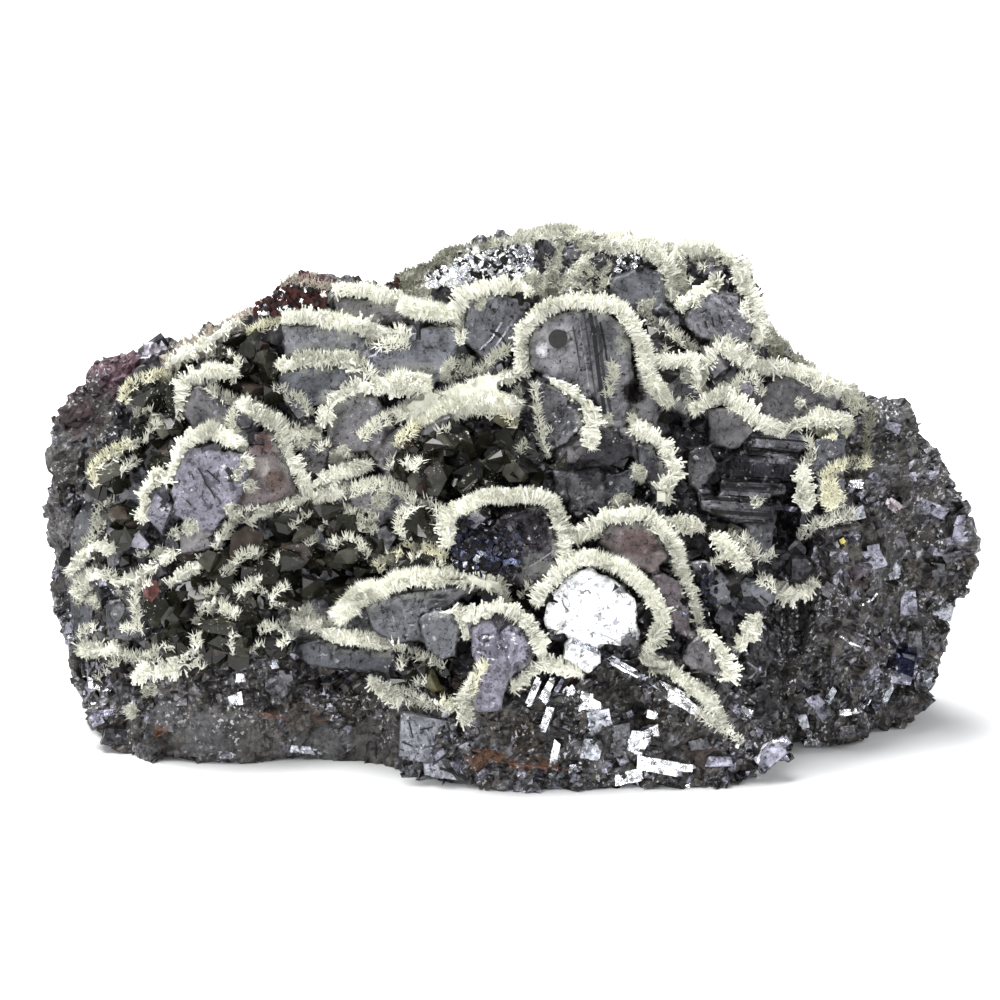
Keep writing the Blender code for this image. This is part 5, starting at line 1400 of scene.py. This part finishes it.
# Bands drawn along the surface: width in pixels, colour, shine, then the places they pass through; the
# near-black strips along grooves and cracks are painted shade
BANDS = [
    (4, GROOVE_SHADE, 0.4, [(590, 313), (594, 335), (597, 358), (600, 382), (605, 414)]),
    (3, (0.03, 0.03, 0.035), 0.4, [(595, 316), (600, 338), (602, 362), (606, 390), (611, 412)]),
    (2, GROOVE_SHADE, 0.5, [(600, 322), (605, 345), (607, 362)]),
    (1.5, LEAD_DARK, 0.5, [(584, 314), (588, 340), (591, 365), (595, 392), (599, 416)]),
    (1.2, (0.20, 0.195, 0.21), 0.6, [(579, 318), (583, 345), (587, 372), (590, 398)]),
    (1.2, LEAD_DARK, 0.5, [(573, 326), (577, 348), (580, 368)]),
    (3, LILAC, 0.7, [(748, 432), (778, 434), (809, 437)]),
    (2, BLACK, 0.5, [(746, 437), (776, 439), (808, 442)]),
    (3, LEAD, 0.7, [(744, 442), (776, 445), (806, 448)]),
    (2, BLACK, 0.5, [(743, 447), (776, 450), (805, 454)]),
    (3, (0.18, 0.175, 0.19), 0.7, [(740, 452), (770, 455), (804, 459)]),
    (14, (0.024, 0.023, 0.028), 0.6, [(722, 468), (758, 470), (797, 472)]),
    (3, LEAD, 0.7, [(720, 479), (760, 482), (800, 484)]),
    (3, BLACK, 0.5, [(704, 485), (750, 488), (798, 490)]),
    (4, (0.15, 0.148, 0.165), 0.7, [(698, 491), (745, 494), (796, 497)]),
    (3, BLACK, 0.5, [(696, 497), (740, 500), (794, 503)]),
    (4, LEAD, 0.7, [(692, 503), (735, 506), (770, 509)]), (5, LILAC, 0.6, [(770, 506), (798, 510)]),
    (4, BLACK, 0.5, [(692, 510), (735, 513), (790, 517)]),
    (3, LEAD_DARK, 0.6, [(700, 518), (745, 521), (780, 524)]),
    # Painted shade: black strips in the cracks of the broken block
    (1.6, BLACK, 0.3, [(409, 722), (413, 738)]), (1.6, BLACK, 0.3, [(420, 730), (433, 727)]),
    (3, BLACK, 0.3, [(436, 737), (448, 733), (451, 745)]), (2.4, BLACK, 0.3, [(447, 722), (450, 731)]),
    (1.4, LEAD_DARK, 0.3, [(424, 748), (436, 745)]), (1.6, LEAD_DARK, 0.3, [(431, 752), (438, 763)]),
    (3, BLACK, 0.3, [(440, 768), (455, 773), (468, 780)]), (1.6, BLACK, 0.3, [(402, 742), (412, 746)]),
    (1.6, RUST_LINE, 0.1, [(472, 750), (490, 754), (508, 756)]),
    (1.4, RUST_LINE, 0.1, [(500, 762), (522, 765), (548, 768), (570, 768)]),
    (1.2, RUST_LINE, 0.1, [(486, 758), (502, 762)]), (1.2, RUST_LINE, 0.1, [(530, 758), (552, 761)]),
    (1.6, RUST_LINE, 0.1, [(260, 712), (276, 716), (290, 721)]),
    (1.6, RUST_LINE, 0.1, [(312, 716), (319, 721), (326, 720)]),
    (3, SILVER, 1.0, [(757, 763), (764, 746), (778, 739), (791, 742)]),
    (3, SILVER, 1.0, [(791, 742), (787, 757), (776, 768)]),
    (3, LEAD, 0.5, [(600, 572), (622, 584), (642, 602)]),
    (1.4, STEEL, 0.5, [(600, 634), (614, 640), (628, 650)]),
    (1.2, LEAD, 0.6, [(562, 600), (564, 606), (568, 610)]),
    (1.2, LEAD, 0.6, [(584, 592), (588, 590), (591, 594)]),
    (6, STEEL, 0.9, [(572, 640), (604, 654), (640, 674), (664, 690)]),
    (1.4, (0.17, 0.165, 0.165), 0.5, [(509, 588), (516, 573), (536, 563), (552, 552)]),
    # Painted shade: black strips in the cracks of the lavender crystal
    (1.6, BLACK, 0.3, [(198, 468), (203, 476), (206, 484), (212, 492), (215, 498)]),
    (1.4, BLACK, 0.3, [(207, 470), (213, 476), (220, 482)]),
    (5, BLACK, 0.3, [(226, 468), (231, 474), (230, 482)]),
    (1.2, LEAD_DARK, 0.3, [(203, 490), (202, 498), (206, 504)]),
    (1.2, BLACK, 0.3, [(192, 474), (194, 480)]),
    (1.4, LEAD_DARK, 0.3, [(214, 494), (219, 499), (220, 504)]),
    (1.2, BLACK, 0.3, [(186, 500), (191, 505)]),
    # Painted shade: near-black strips along the long crack
    (7, JET, 0.2, [(748, 668), (760, 684), (768, 700), (778, 718), (790, 736), (797, 757)]),
    (4, JET, 0.2, [(736, 654), (744, 662), (748, 668)]),
    (2, LEAD_DARK, 0.5, [(368, 600), (410, 592), (450, 588), (490, 584)]),
    (2, BLACK, 0.4, [(560, 512), (570, 500), (566, 486)]),
    (3, BLACK, 0.4, [(490, 330), (500, 336), (508, 348)]),
    (2, STEEL, 0.9, [(480, 350), (492, 338), (502, 322)]),
    (2, STEEL, 0.9, [(494, 348), (503, 336), (509, 326)]), (1.3, BLACK, 0.4, [(705, 321), (708, 329)]),
    (1.5, BLACK, 0.4, [(712, 317), (714, 327)]), (1.3, BLACK, 0.4, [(719, 315), (722, 324)]),
    (1.2, BLACK, 0.4, [(702, 313), (707, 309)]), (1.2, LEAD_DARK, 0.4, [(728, 310), (731, 318)]),
    (1.2, LEAD_DARK, 0.4, [(698, 326), (701, 333)]),
    (2, (0.22, 0.21, 0.23), 0.6, [(696, 300), (716, 294), (738, 298)]),
    (2, BLACK, 0.4, [(760, 596), (772, 606), (770, 620)]),
    (2, BLACK, 0.4, [(738, 604), (752, 612), (764, 610)]),
    (3, (0.028, 0.03, 0.06), 0.8, [(892, 640), (902, 656), (898, 674)]),
    (2, SILVER, 1.0, [(840, 636), (852, 644), (866, 648)]),
    (2, LILAC, 0.8, [(842, 628), (858, 634), (872, 640)]),
    (2, (0.22, 0.2, 0.19), 0.5, [(846, 640), (860, 652), (868, 664)]),
    (2, SILVER, 1.0, [(880, 590), (872, 600), (860, 606)]),
]


def straight_parts(line):
    """For each straight part of a drawn line: its start, its run, its length and the way across it."""
    for (column, row), (next_column, next_row) in zip(line, line[1:]):
        length = math.hypot(next_column - column, next_row - row)
        across = ((row - next_row) / length, (next_column - column) / length)
        yield (column, row), (next_column - column, next_row - row), length, across


def seen_beside(shown, start, run, across, share, offset):
    """The point of the specimen at a share of a straight part, and some pixels across from it."""
    column = start[0] + run[0] * share + across[0] * offset
    row = start[1] + run[1] * share + across[1] * offset
    return place_at(shown, column, row)


def band_sections(line, width, shown):
    """Both edges of a band at each step along its line, where the specimen is seen there."""
    sections = []
    for start, run, length, across in straight_parts(line):
        steps = max(2, int(length / BAND_STEP))
        for step in range(steps + 1):
            sides = [
                seen_beside(shown, start, run, across, step / steps, side)
                for side in (-width / 2.0, width / 2.0)
            ]
            if None not in sides:
                sections.append(sides)
    return sections


def bands(material, shown):
    """Narrow strips sunk in the surface, for grooves, cracks, layers and bright edges; those in grooves and
    cracks are dark with painted shade.
    """
    parts = []
    for width, colour, shine, line in BANDS:
        sections = band_sections(line, width, shown)
        most = (width + 8.0) * 2.0 * PIXEL
        for first, second in zip(sections, sections[1:]):
            ends = first + second
            if max((end - ends[0]).length for end in ends) > most:
                continue
            corners = [end + VIEW_AWAY * depth for end in ends for depth in (-BAND_RISE, BAND_DEPTH)]
            parts.append(plain_parts(*crystal_shape(corners), colour, shine, BAND_GRAIN))
    add_piece("bands", joined(parts), material)


def round_hole(material, shown):
    """The round pit high on the tallest crystal, as a disc of painted shade just proud of its face."""
    middle = place_at(shown, *HOLE)
    angles = np.arange(HOLE_SIDES) * 2.0 * math.pi / HOLE_SIDES
    corners = []
    for angle in angles:
        for depth in (-0.25 * MM, 0.8 * MM):
            rim = VIEW_RIGHT * math.cos(angle) + VIEW_UP * math.sin(angle)
            corners.append(middle + rim * HOLE_REACH * PIXEL + VIEW_AWAY * depth)
    points, faces = crystal_shape(corners)
    add_piece("round_hole", plain_parts(points, faces, ROUND_PIT_SHADE, 0.1, 0.0), material)


# Calcite

NEEDLES_PER_MM2 = 12.0
NEEDLE_LENGTHS = (1.3 * MM, 2.8 * MM)
NEEDLE_WIDTHS = (0.22 * MM, 0.44 * MM)
TUFT = 2.0 * MM
MOST_PIECE_FACES = 190000
# How much lighter or darker each needle is than its fringe
NEEDLE_TONES = (0.72, 1.06)
UNEVEN_SIZE = 3.2 * MM
UNEVEN_SEED = 33


def unevenness(places):
    """How far the fringes shrink back here and there."""
    return (smooth_noise(places, UNEVEN_SIZE, UNEVEN_SEED)[:, None] ** 2) * 1.3 * MM


def tuft_aims(places, smooth, rng):
    """Directions that spread out from the middle of each tuft."""
    middle, _ = nearest_cells(places, TUFT, 71)
    roots = middle - smooth * 1.6 * MM
    return unit(unit(places - roots) + smooth * 0.5 + rng.normal(size=smooth.shape) * 0.22)


def needle_parts(points, faces, tints):
    """Needles with a tint for each, and neither shine nor grain."""
    return points, faces, np.repeat(tints, 3, axis=0), np.zeros(len(faces)), np.zeros(len(faces))


def fringe_needles(material):
    """Needles all over the fringe solids that no rock covers, in place of those solids."""
    names = nodes_named("calcite_fringe")
    rng = np.random.default_rng(5)
    points, normals, triangles = solid_arrays(names)
    number = int(areas_of(points, triangles).sum() / MM**2 * NEEDLES_PER_MM2)
    places, smooth = scattered(points, normals, triangles, number, rng)
    free = np.array([
        solids.ray_cast(Vector(p), Vector(n), 1.0 * MM)[0] is None for p, n in zip(places, smooth)
    ])
    places, smooth = places[free], smooth[free]
    places = places - smooth * unevenness(places)
    aim = tuft_aims(places, smooth, rng)
    length = rng.uniform(*NEEDLE_LENGTHS, len(places))[:, None]
    width = rng.uniform(*NEEDLE_WIDTHS, len(places))
    out = rng.uniform(0.0, 0.42, len(places))[:, None]
    tips = places + aim * length * out
    feet = tips - aim * length
    shade = np.clip((smooth_noise(places, 4.0 * MM, 21) - 0.55) * 6.0, 0.0, 1.0)[:, None]
    tints = np.array(CREAM) * (1 - shade) + np.array(CREAM_GREY) * shade
    tints *= rng.uniform(*NEEDLE_TONES, (len(places), 1))
    order = np.argsort(places[:, 0])
    pieces = np.array_split(order, max(1, math.ceil(len(order) * 3 / MOST_PIECE_FACES)))
    for number, part in enumerate(pieces, 1):
        points, faces = cones(feet[part], tips[part], width[part], rng)
        parts = needle_parts(points, faces, tints[part])
        add_piece(f"calcite_needles_{number}", parts, material, names if number == 1 else ())


def fringe_core(material):
    """A rough core inside the needles of each fringe, painted grey as shade between the needles."""
    names = nodes_named("calcite_fringe")
    points, normals, triangles = fine_copy(names, CORE_VOXEL)
    rough = smooth_noise(points, 0.9 * MM, 31) * 0.6 * MM
    points = points - normals * ((0.3 * MM + rough)[:, None] + unevenness(points))
    # The grey of the core is painted shade in the gaps between the needles
    add_piece("calcite_core", plain_parts(points, triangles, CREAM_GREY, 0.0, 0.0), material)


# Thin fringes drawn along edges in the photograph: width, colour, then the places they pass through
THIN_FRINGES = [
    (7, CREAM_PINK, [(166, 368), (180, 356), (200, 347), (216, 338), (230, 328), (240, 318), (252, 306)]),
    (6, CREAM_PINK, [(252, 306), (262, 296), (274, 287), (288, 281), (304, 282), (322, 286), (346, 290)]),
    (10, CREAM_YELLOW, [(124, 404), (127, 388), (142, 380), (160, 374), (172, 382)]),
    (9, CREAM_YELLOW, [(94, 488), (93, 470), (102, 459), (118, 448), (132, 443)]),
    (9, CREAM_YELLOW, [(248, 336), (262, 327), (276, 322), (290, 320)]),
    (8, CREAM, [(206, 358), (216, 352), (230, 357), (240, 366)]),
    (10, CREAM, [(207, 384), (219, 396), (236, 403), (252, 402), (268, 414), (286, 425)]),
    (8, CREAM, [(238, 406), (230, 422), (236, 434)]),
    (10, CREAM, [(222, 540), (234, 521), (250, 512), (270, 508), (292, 505)]),
    (9, CREAM_GREY, [(84, 546), (96, 534), (104, 520)]),
    (9, CREAM, [(74, 596), (82, 578), (101, 571), (115, 578)]),
    (9, CREAM_GREY, [(222, 576), (234, 564), (247, 553), (263, 556)]),
    (9, CREAM, [(236, 594), (250, 584), (262, 580)]),
    (10, CREAM, [(198, 611), (210, 604), (223, 609), (238, 616)]),
    (9, CREAM, [(259, 632), (274, 624), (287, 631)]),
    (8, CREAM, [(133, 599), (137, 612), (138, 626)]),
    (8, CREAM, [(78, 632), (96, 628)]),
    (9, CREAM_GREY, [(77, 648), (95, 655), (114, 652), (130, 657), (158, 658)]),
    (9, CREAM, [(170, 662), (187, 657), (198, 648), (195, 634)]),
    (13, CREAM, [(300, 497), (322, 490), (345, 492), (366, 487), (386, 484), (402, 491), (414, 501)]),
    (9, CREAM_GREY, [(344, 508), (360, 520), (374, 534)]),
    (10, CREAM, [(399, 524), (403, 513), (412, 506), (426, 501), (438, 507), (444, 521), (449, 540)]),
    (8, CREAM, [(398, 522), (402, 534), (410, 542)]),
    (10, CREAM_YELLOW, [(376, 571), (388, 557), (402, 551), (420, 547), (436, 551), (446, 560)]),
    (9, CREAM, [(328, 549), (339, 540), (354, 540), (362, 547), (368, 558)]),
    (8, CREAM, [(404, 460), (411, 469), (422, 461)]),
    (10, CREAM, [(496, 577), (502, 593), (507, 608)]),
    (9, CREAM, [(291, 611), (305, 613), (316, 623), (331, 624), (346, 627)]),
    (9, CREAM, [(370, 637), (390, 643), (405, 650)]),
    (13, CREAM, [(366, 337), (384, 345), (409, 343)]),
    (9, CREAM, [(388, 338), (399, 330), (410, 336)]),
    (9, CREAM, [(362, 362), (371, 374), (376, 384)]),
    (11, CREAM, [(360, 438), (375, 425), (395, 414), (412, 405), (428, 398)]),
    (11, CREAM_YELLOW, [(396, 447), (408, 433), (424, 420), (440, 411), (458, 400)]),
    (9, CREAM_YELLOW, [(486, 396), (498, 404), (508, 416), (518, 428)]),
    (9, CREAM, [(270, 420), (286, 429), (307, 431), (322, 432)]),
    (8, CREAM_GREY, [(285, 400), (296, 396), (306, 405), (311, 416)]),
    (9, CREAM, [(466, 296), (461, 310), (459, 328), (462, 344)]),
    (9, CREAM_GREY, [(478, 374), (494, 358), (509, 348)]),
    (8, CREAM_GREY, [(446, 370), (456, 360), (470, 366)]),
    (10, CREAM, [(648, 318), (666, 330), (682, 340), (698, 354)]),
    (10, CREAM, [(642, 370), (655, 364), (677, 362), (695, 367)]),
    (9, CREAM, [(697, 364), (701, 386), (706, 402)]),
    (8, CREAM_GREY, [(688, 407), (703, 407), (716, 402)]),
    (8, CREAM_GREY, [(611, 362), (615, 374), (610, 386), (607, 398)]),
    (6, CREAM_GREY, [(535, 384), (537, 408), (541, 436), (549, 458)]),
    (9, CREAM, [(706, 356), (716, 343), (732, 343), (739, 354)]),
    (8, CREAM, [(734, 398), (735, 384), (745, 377), (758, 381), (761, 397)]),
    (9, CREAM, [(696, 384), (712, 396), (730, 404), (744, 413)]),
    (10, CREAM, [(758, 370), (772, 367), (787, 369), (808, 380), (820, 389)]),
    (10, CREAM_GREY, [(762, 340), (780, 342), (800, 350), (819, 370), (836, 380), (842, 396)]),
    (9, CREAM_GREY, [(843, 396), (851, 406), (860, 412), (868, 405)]),
    (7, CREAM_OLIVE, [(872, 408), (870, 426), (866, 446), (868, 462)]),
    (10, CREAM_YELLOW, [(822, 480), (835, 468), (851, 464), (870, 463)]),
    (14, CREAM_YELLOW, [(830, 478), (828, 494), (834, 510)]),
    (8, CREAM, [(808, 438), (814, 455), (804, 466)]),
    (10, CREAM, [(799, 540), (812, 526), (835, 519), (855, 513)]),
    (11, CREAM, [(640, 372), (652, 388), (664, 402)]),
    (9, CREAM, [(742, 536), (752, 548), (762, 560), (774, 552)]),
    (9, CREAM, [(757, 578), (771, 584), (786, 597), (802, 592), (818, 582)]),
    (9, CREAM_GREY, [(727, 534), (738, 548), (750, 556)]),
    (8, CREAM, [(696, 712), (712, 722), (728, 732), (744, 742)]),
    (10, CREAM, [(388, 690), (404, 694), (420, 700), (440, 706)]),
    (9, CREAM_GREY, [(408, 652), (426, 659), (444, 666)]),
    (9, CREAM_YELLOW, [(440, 702), (462, 706), (471, 690), (478, 672), (487, 662)]),
    (8, CREAM_GREY, [(612, 500), (622, 510), (640, 508)]),
]
# Crusts of short needles: colour, then column, row and reach of each; a later one covers an earlier one
CRUSTS = by_look(1, [
    (CREAM_OLIVE, (420, 268, 20), (440, 256, 20), (462, 246, 20), (484, 240, 20)),
    (CREAM_GREY, (506, 235, 18), (526, 231, 18), (546, 228, 18), (568, 226, 18)), (CREAM, (590, 226, 18)),
    (CREAM_GREY, (610, 230, 18), (555, 262, 12), (556, 246, 10), (588, 246, 14)), (CREAM, (530, 280, 14)),
    (CREAM_GREY, (550, 285, 16)), (CREAM, (575, 280, 18)), (CREAM_GREY, (598, 284, 14)),
    (CREAM, (590, 264, 14)), (CREAM_GREY, (604, 268, 8), (574, 296, 12), (420, 290, 16)),
    (CREAM_OLIVE, (408, 278, 14)), (CREAM_GREY, (520, 238, 12)), (CREAM, (625, 240, 20), (650, 244, 18),
     (672, 262, 18)), (CREAM_GREY, (680, 244, 18)), (CREAM, (684, 286, 12), (704, 250, 18)),
    (CREAM_GREY, (726, 262, 14)), (CREAM, (742, 284, 12), (752, 310, 12), (760, 334, 14)),
    (CREAM_GREY, (676, 272, 12), (694, 300, 9)), (CREAM, (752, 262, 14), (744, 252, 12), (766, 320, 10)),
    (CREAM_GREY, (776, 330, 10), (848, 388, 10), (856, 398, 8)), (CREAM_OLIVE, (776, 346, 14),
     (804, 358, 14)), (CREAM_GREY, (830, 384, 14), (690, 374, 12), (746, 356, 16), (646, 306, 10)),
    (CREAM_PINK, (172, 362, 10), (186, 350, 12), (202, 344, 14), (216, 336, 12), (230, 326, 12),
     (244, 312, 9), (256, 300, 8), (268, 290, 7), (282, 281, 7), (296, 275, 6), (312, 278, 6),
     (328, 282, 6)), (CREAM_YELLOW, (832, 494, 12), (826, 428, 15), (845, 428, 10)),
    (CREAM_GREY, (606, 420, 8), (640, 474, 9), (622, 500, 9), (756, 502, 7), (300, 440, 12),
     (340, 456, 12), (330, 480, 10), (450, 374, 12), (470, 366, 10), (160, 556, 10)),
    (CREAM, (172, 552, 9)), (CREAM_GREY, (98, 600, 10)), (CREAM, (128, 588, 14)),
    (CREAM_GREY, (150, 690, 9), (132, 712, 8), (98, 520, 8), (362, 518, 14), (380, 500, 10)),
    (CREAM, (300, 520, 9)), (CREAM_GREY, (330, 510, 7), (784, 590, 8)), (CREAM, (540, 656, 9),
     (448, 708, 8)), (STAINED, (746, 559, 7)), (CREAM_GREY, (480, 300, 10)), (CREAM, (380, 296, 10)),
    (CREAM_GREY, (236, 474, 7)), (CREAM, (246, 462, 9)), (CREAM_GREY, (250, 486, 9), (232, 510, 9)),
    (CREAM, (244, 446, 8)), (CREAM_GREY, (176, 535, 8), (190, 528, 9)), (CREAM, (250, 404, 9)),
    (CREAM_GREY, (262, 352, 6), (530, 380, 9), (520, 392, 8), (590, 300, 10)), (CREAM, (376, 566, 8)),
    (CREAM_GREY, (470, 512, 8), (596, 530, 10), (672, 532, 7), (690, 400, 9)), (CREAM, (724, 388, 8),
     (800, 404, 6)),
])
CRUST_DENSITY = 12.0 / MM**2
CRUST_LENGTHS = (0.6 * MM, 1.4 * MM)
CRUST_WIDTHS = (0.22 * MM, 0.46 * MM)
CRUST_TONES = (0.7, 1.1)
CRUST_GAPS = 0.9 * MM
# The colour painted on the surface under a crust, as a share of the crust's own
UNDER_CRUST = 0.45
# Needles for each square pixel of a thin fringe
THIN_FRINGE_DENSITY = 0.5
# Small fringes: spacing, half lengths and widths in pixels
SMALL_FRINGE_SPACING = 13.0
SMALL_FRINGE_HALVES = (5.0, 12.0)
SMALL_FRINGE_WIDTHS = (4.0, 7.0)


def small_fringes():
    """Short fringes among the sphalerite that rise to the right, as the ones in the photograph do."""
    rng = np.random.default_rng(61)
    fringes = []
    for column, row, reach in SPHALERITE_PARTS:
        for _ in range(int(reach / SMALL_FRINGE_SPACING)):
            middle = np.array((column, row)) + rng.uniform(-0.8, 0.8, 2) * reach
            turn = rng.normal(0.5, 0.4)
            half = rng.uniform(*SMALL_FRINGE_HALVES) * np.array((math.cos(turn), -math.sin(turn)))
            bend = rng.uniform(1.0, 4.0) * np.array((-math.sin(turn), -math.cos(turn)))
            colour = CREAM if rng.random() < 0.5 else CREAM_GREY
            line = [middle - half, middle + bend, middle + half]
            fringes.append((rng.uniform(*SMALL_FRINGE_WIDTHS), colour, line))
    return fringes


def thin_fringes(material, shown):
    """Bands of needles that spread out to both sides of each drawn line."""
    rng = np.random.default_rng(59)
    feet, aims, lengths, tints = [], [], [], []
    for width, colour, line in THIN_FRINGES + small_fringes():
        for start, run, length, across in straight_parts(line):
            outward = VIEW_RIGHT * across[0] - VIEW_UP * across[1]
            for _ in range(int(length * width * THIN_FRINGE_DENSITY)):
                share = rng.random()
                side = rng.uniform(-1.0, 1.0)
                middle = seen_beside(shown, start, run, across, share, side * width / 2.0)
                if middle is not None:
                    feet.append(middle)
                    aims.append(Vector(SLOPE_OUT) * 1.2 + outward * side * 0.9)
                    lengths.append((2.0 - 0.9 * abs(side)) * MM)
                    tints.append(colour)
    feet = np.array(feet)
    number = len(feet)
    aims = unit(np.array(aims) + rng.normal(size=(number, 3)) * 0.5)
    lengths = np.array(lengths)[:, None] * rng.uniform(0.7, 1.1, (number, 1))
    widths = rng.uniform(*NEEDLE_WIDTHS, number)
    points, faces = cones(feet - aims * 0.3 * MM, feet + aims * lengths, widths, rng)
    tints = np.array(tints) * rng.uniform(*NEEDLE_TONES, (number, 1))
    add_piece("calcite_thin_fringes", needle_parts(points, faces, tints), material)


def crusts(material, surfaces):
    """Short needles over the crusted parts of the surface."""
    rng = np.random.default_rng(67)
    feet, aims, tints = [], [], []
    for points, normals, triangles in surfaces:
        number = int(areas_of(points, triangles).sum() * CRUST_DENSITY)
        places, smooth = scattered(points, normals, triangles, number, rng)
        chosen = np.full(number, -1)
        spots = [crust[:3] for crust in CRUSTS]
        for index, share in enumerate(facing_spots(spots, places, smooth, CRUST_SEED, 0.7)):
            chosen[share > 0.4] = index
        keep = (chosen >= 0) & (smooth_noise(places, CRUST_GAPS, 75) > 0.36)
        feet.append(places[keep])
        aims.append(smooth[keep])
        tints.append(np.array([CRUSTS[index][3] for index in chosen[keep]]))
    feet, aims, tints = (np.concatenate(values) for values in (feet, aims, tints))
    number = len(feet)
    aims = unit(aims + rng.normal(size=(number, 3)) * 0.5)
    lengths = rng.uniform(*CRUST_LENGTHS, (number, 1))
    widths = rng.uniform(*CRUST_WIDTHS, number)
    points, faces = cones(feet - aims * 0.2 * MM, feet + aims * lengths, widths, rng)
    tints = tints * rng.uniform(*CRUST_TONES, (number, 1))
    add_piece("calcite_crust", needle_parts(points, faces, tints), material)


# Studio

FLOOR_HALF = 6.0
SKY_COLOUR = (0.94, 0.97, 1.0, 1.0)
SKY_STRENGTH = 0.5
LIT_PLACE = (0.0, 0.0, 0.04)
# Lights: name, place, width and height, and power
LIGHTS = (
    ("overhead", (-0.35, 0.15, 1.25), (1.1, 0.9), 38.0),
    ("front", (0.28, -2.0, 0.36), (0.5, 0.35), 12.0),
    ("left", (-1.5, -0.7, 0.7), (0.6, 0.8), 10.0),
    ("right", (1.4, 0.2, 0.8), (0.4, 0.8), 7.0),
)


def add_light(name, place, size, power):
    """A rectangular light that points at the specimen."""
    light = bpy.data.lights.new(name, "AREA")
    light.shape = "RECTANGLE"
    light.size = size[0]
    light.size_y = size[1]
    light.energy = power
    lamp = bpy.data.objects.new(name, light)
    lamp.location = place
    lamp.rotation_euler = (Vector(LIT_PLACE) - Vector(place)).to_track_quat("-Z", "Y").to_euler()
    bpy.context.scene.collection.objects.link(lamp)


def add_camera():
    """The camera that took the photograph."""
    camera = bpy.data.cameras.new("camera")
    camera.sensor_width = SENSOR
    camera.lens = SENSOR * VIEW_DISTANCE / (FRAME_WIDTH * PIXEL)
    camera.clip_start = 0.05
    camera.clip_end = 50.0
    eye = bpy.data.objects.new("camera", camera)
    eye.location = VIEWPOINT
    eye.rotation_euler = VIEW_AWAY.to_track_quat("-Z", "Y").to_euler()
    bpy.context.scene.collection.objects.link(eye)
    bpy.context.scene.camera = eye


def add_sky():
    world = bpy.data.worlds.new("studio")
    bpy.context.scene.world = world
    world.use_nodes = True
    background = world.node_tree.nodes["Background"]
    background.inputs["Color"].default_value = SKY_COLOUR
    background.inputs["Strength"].default_value = SKY_STRENGTH


def add_floor():
    mesh = bpy.data.meshes.new("floor")
    corners = [(x * FLOOR_HALF, y * FLOOR_HALF, 0.0) for x, y in ((-1, -1), (1, -1), (1, 1), (-1, 1))]
    mesh.from_pydata(corners, [], [(0, 1, 2, 3)])
    mesh.materials.append(floor_material())
    floor = bpy.data.objects.new("floor", mesh)
    bpy.context.scene.collection.objects.link(floor)


def add_studio():
    """A pale floor and sky, and the four lights."""
    bpy.context.scene.view_settings.view_transform = "Standard"
    add_sky()
    add_floor()
    for light in LIGHTS:
        add_light(*light)


# The specimen, then the studio

galena = metal_material("galena", 0.62, 260.0, 1100.0, 0.62)
ore = metal_material("ore", 0.60, 420.0, 1400.0, 0.58)
calcite = calcite_material()
fringes = tree_of(nodes_named("calcite_fringe"))
rock = ore_skin(ore)
ore_grains(ore, rock)
plates = cleavage_plates(galena, rock)
druse = druse_skin(galena, fringes)
blocks = druse_grains(galena, druse)
blende = sphalerite_material()
crystals = sphalerite_crystals(blende, druse)
fringe_needles(calcite)
fringe_core(calcite)
shown = tree_from((rock[0], rock[2]), (druse[0], druse[2]), blocks, crystals)
glitter(galena, shown)
singles = [
    single_crystals("single_galena", SINGLE_GALENA, bevelled_shape, galena, shown, 47),
    single_crystals("single_sphalerite", SINGLE_SPHALERITE, sharp_shape, blende, shown, 53),
]
shown = tree_from((rock[0], rock[2]), (druse[0], druse[2]), plates, blocks, crystals, *singles)
bands(galena, shown)
round_hole(galena, shown)
thin_fringes(calcite, shown)
crusts(calcite, [rock, druse[:3]])
add_camera()
add_studio()
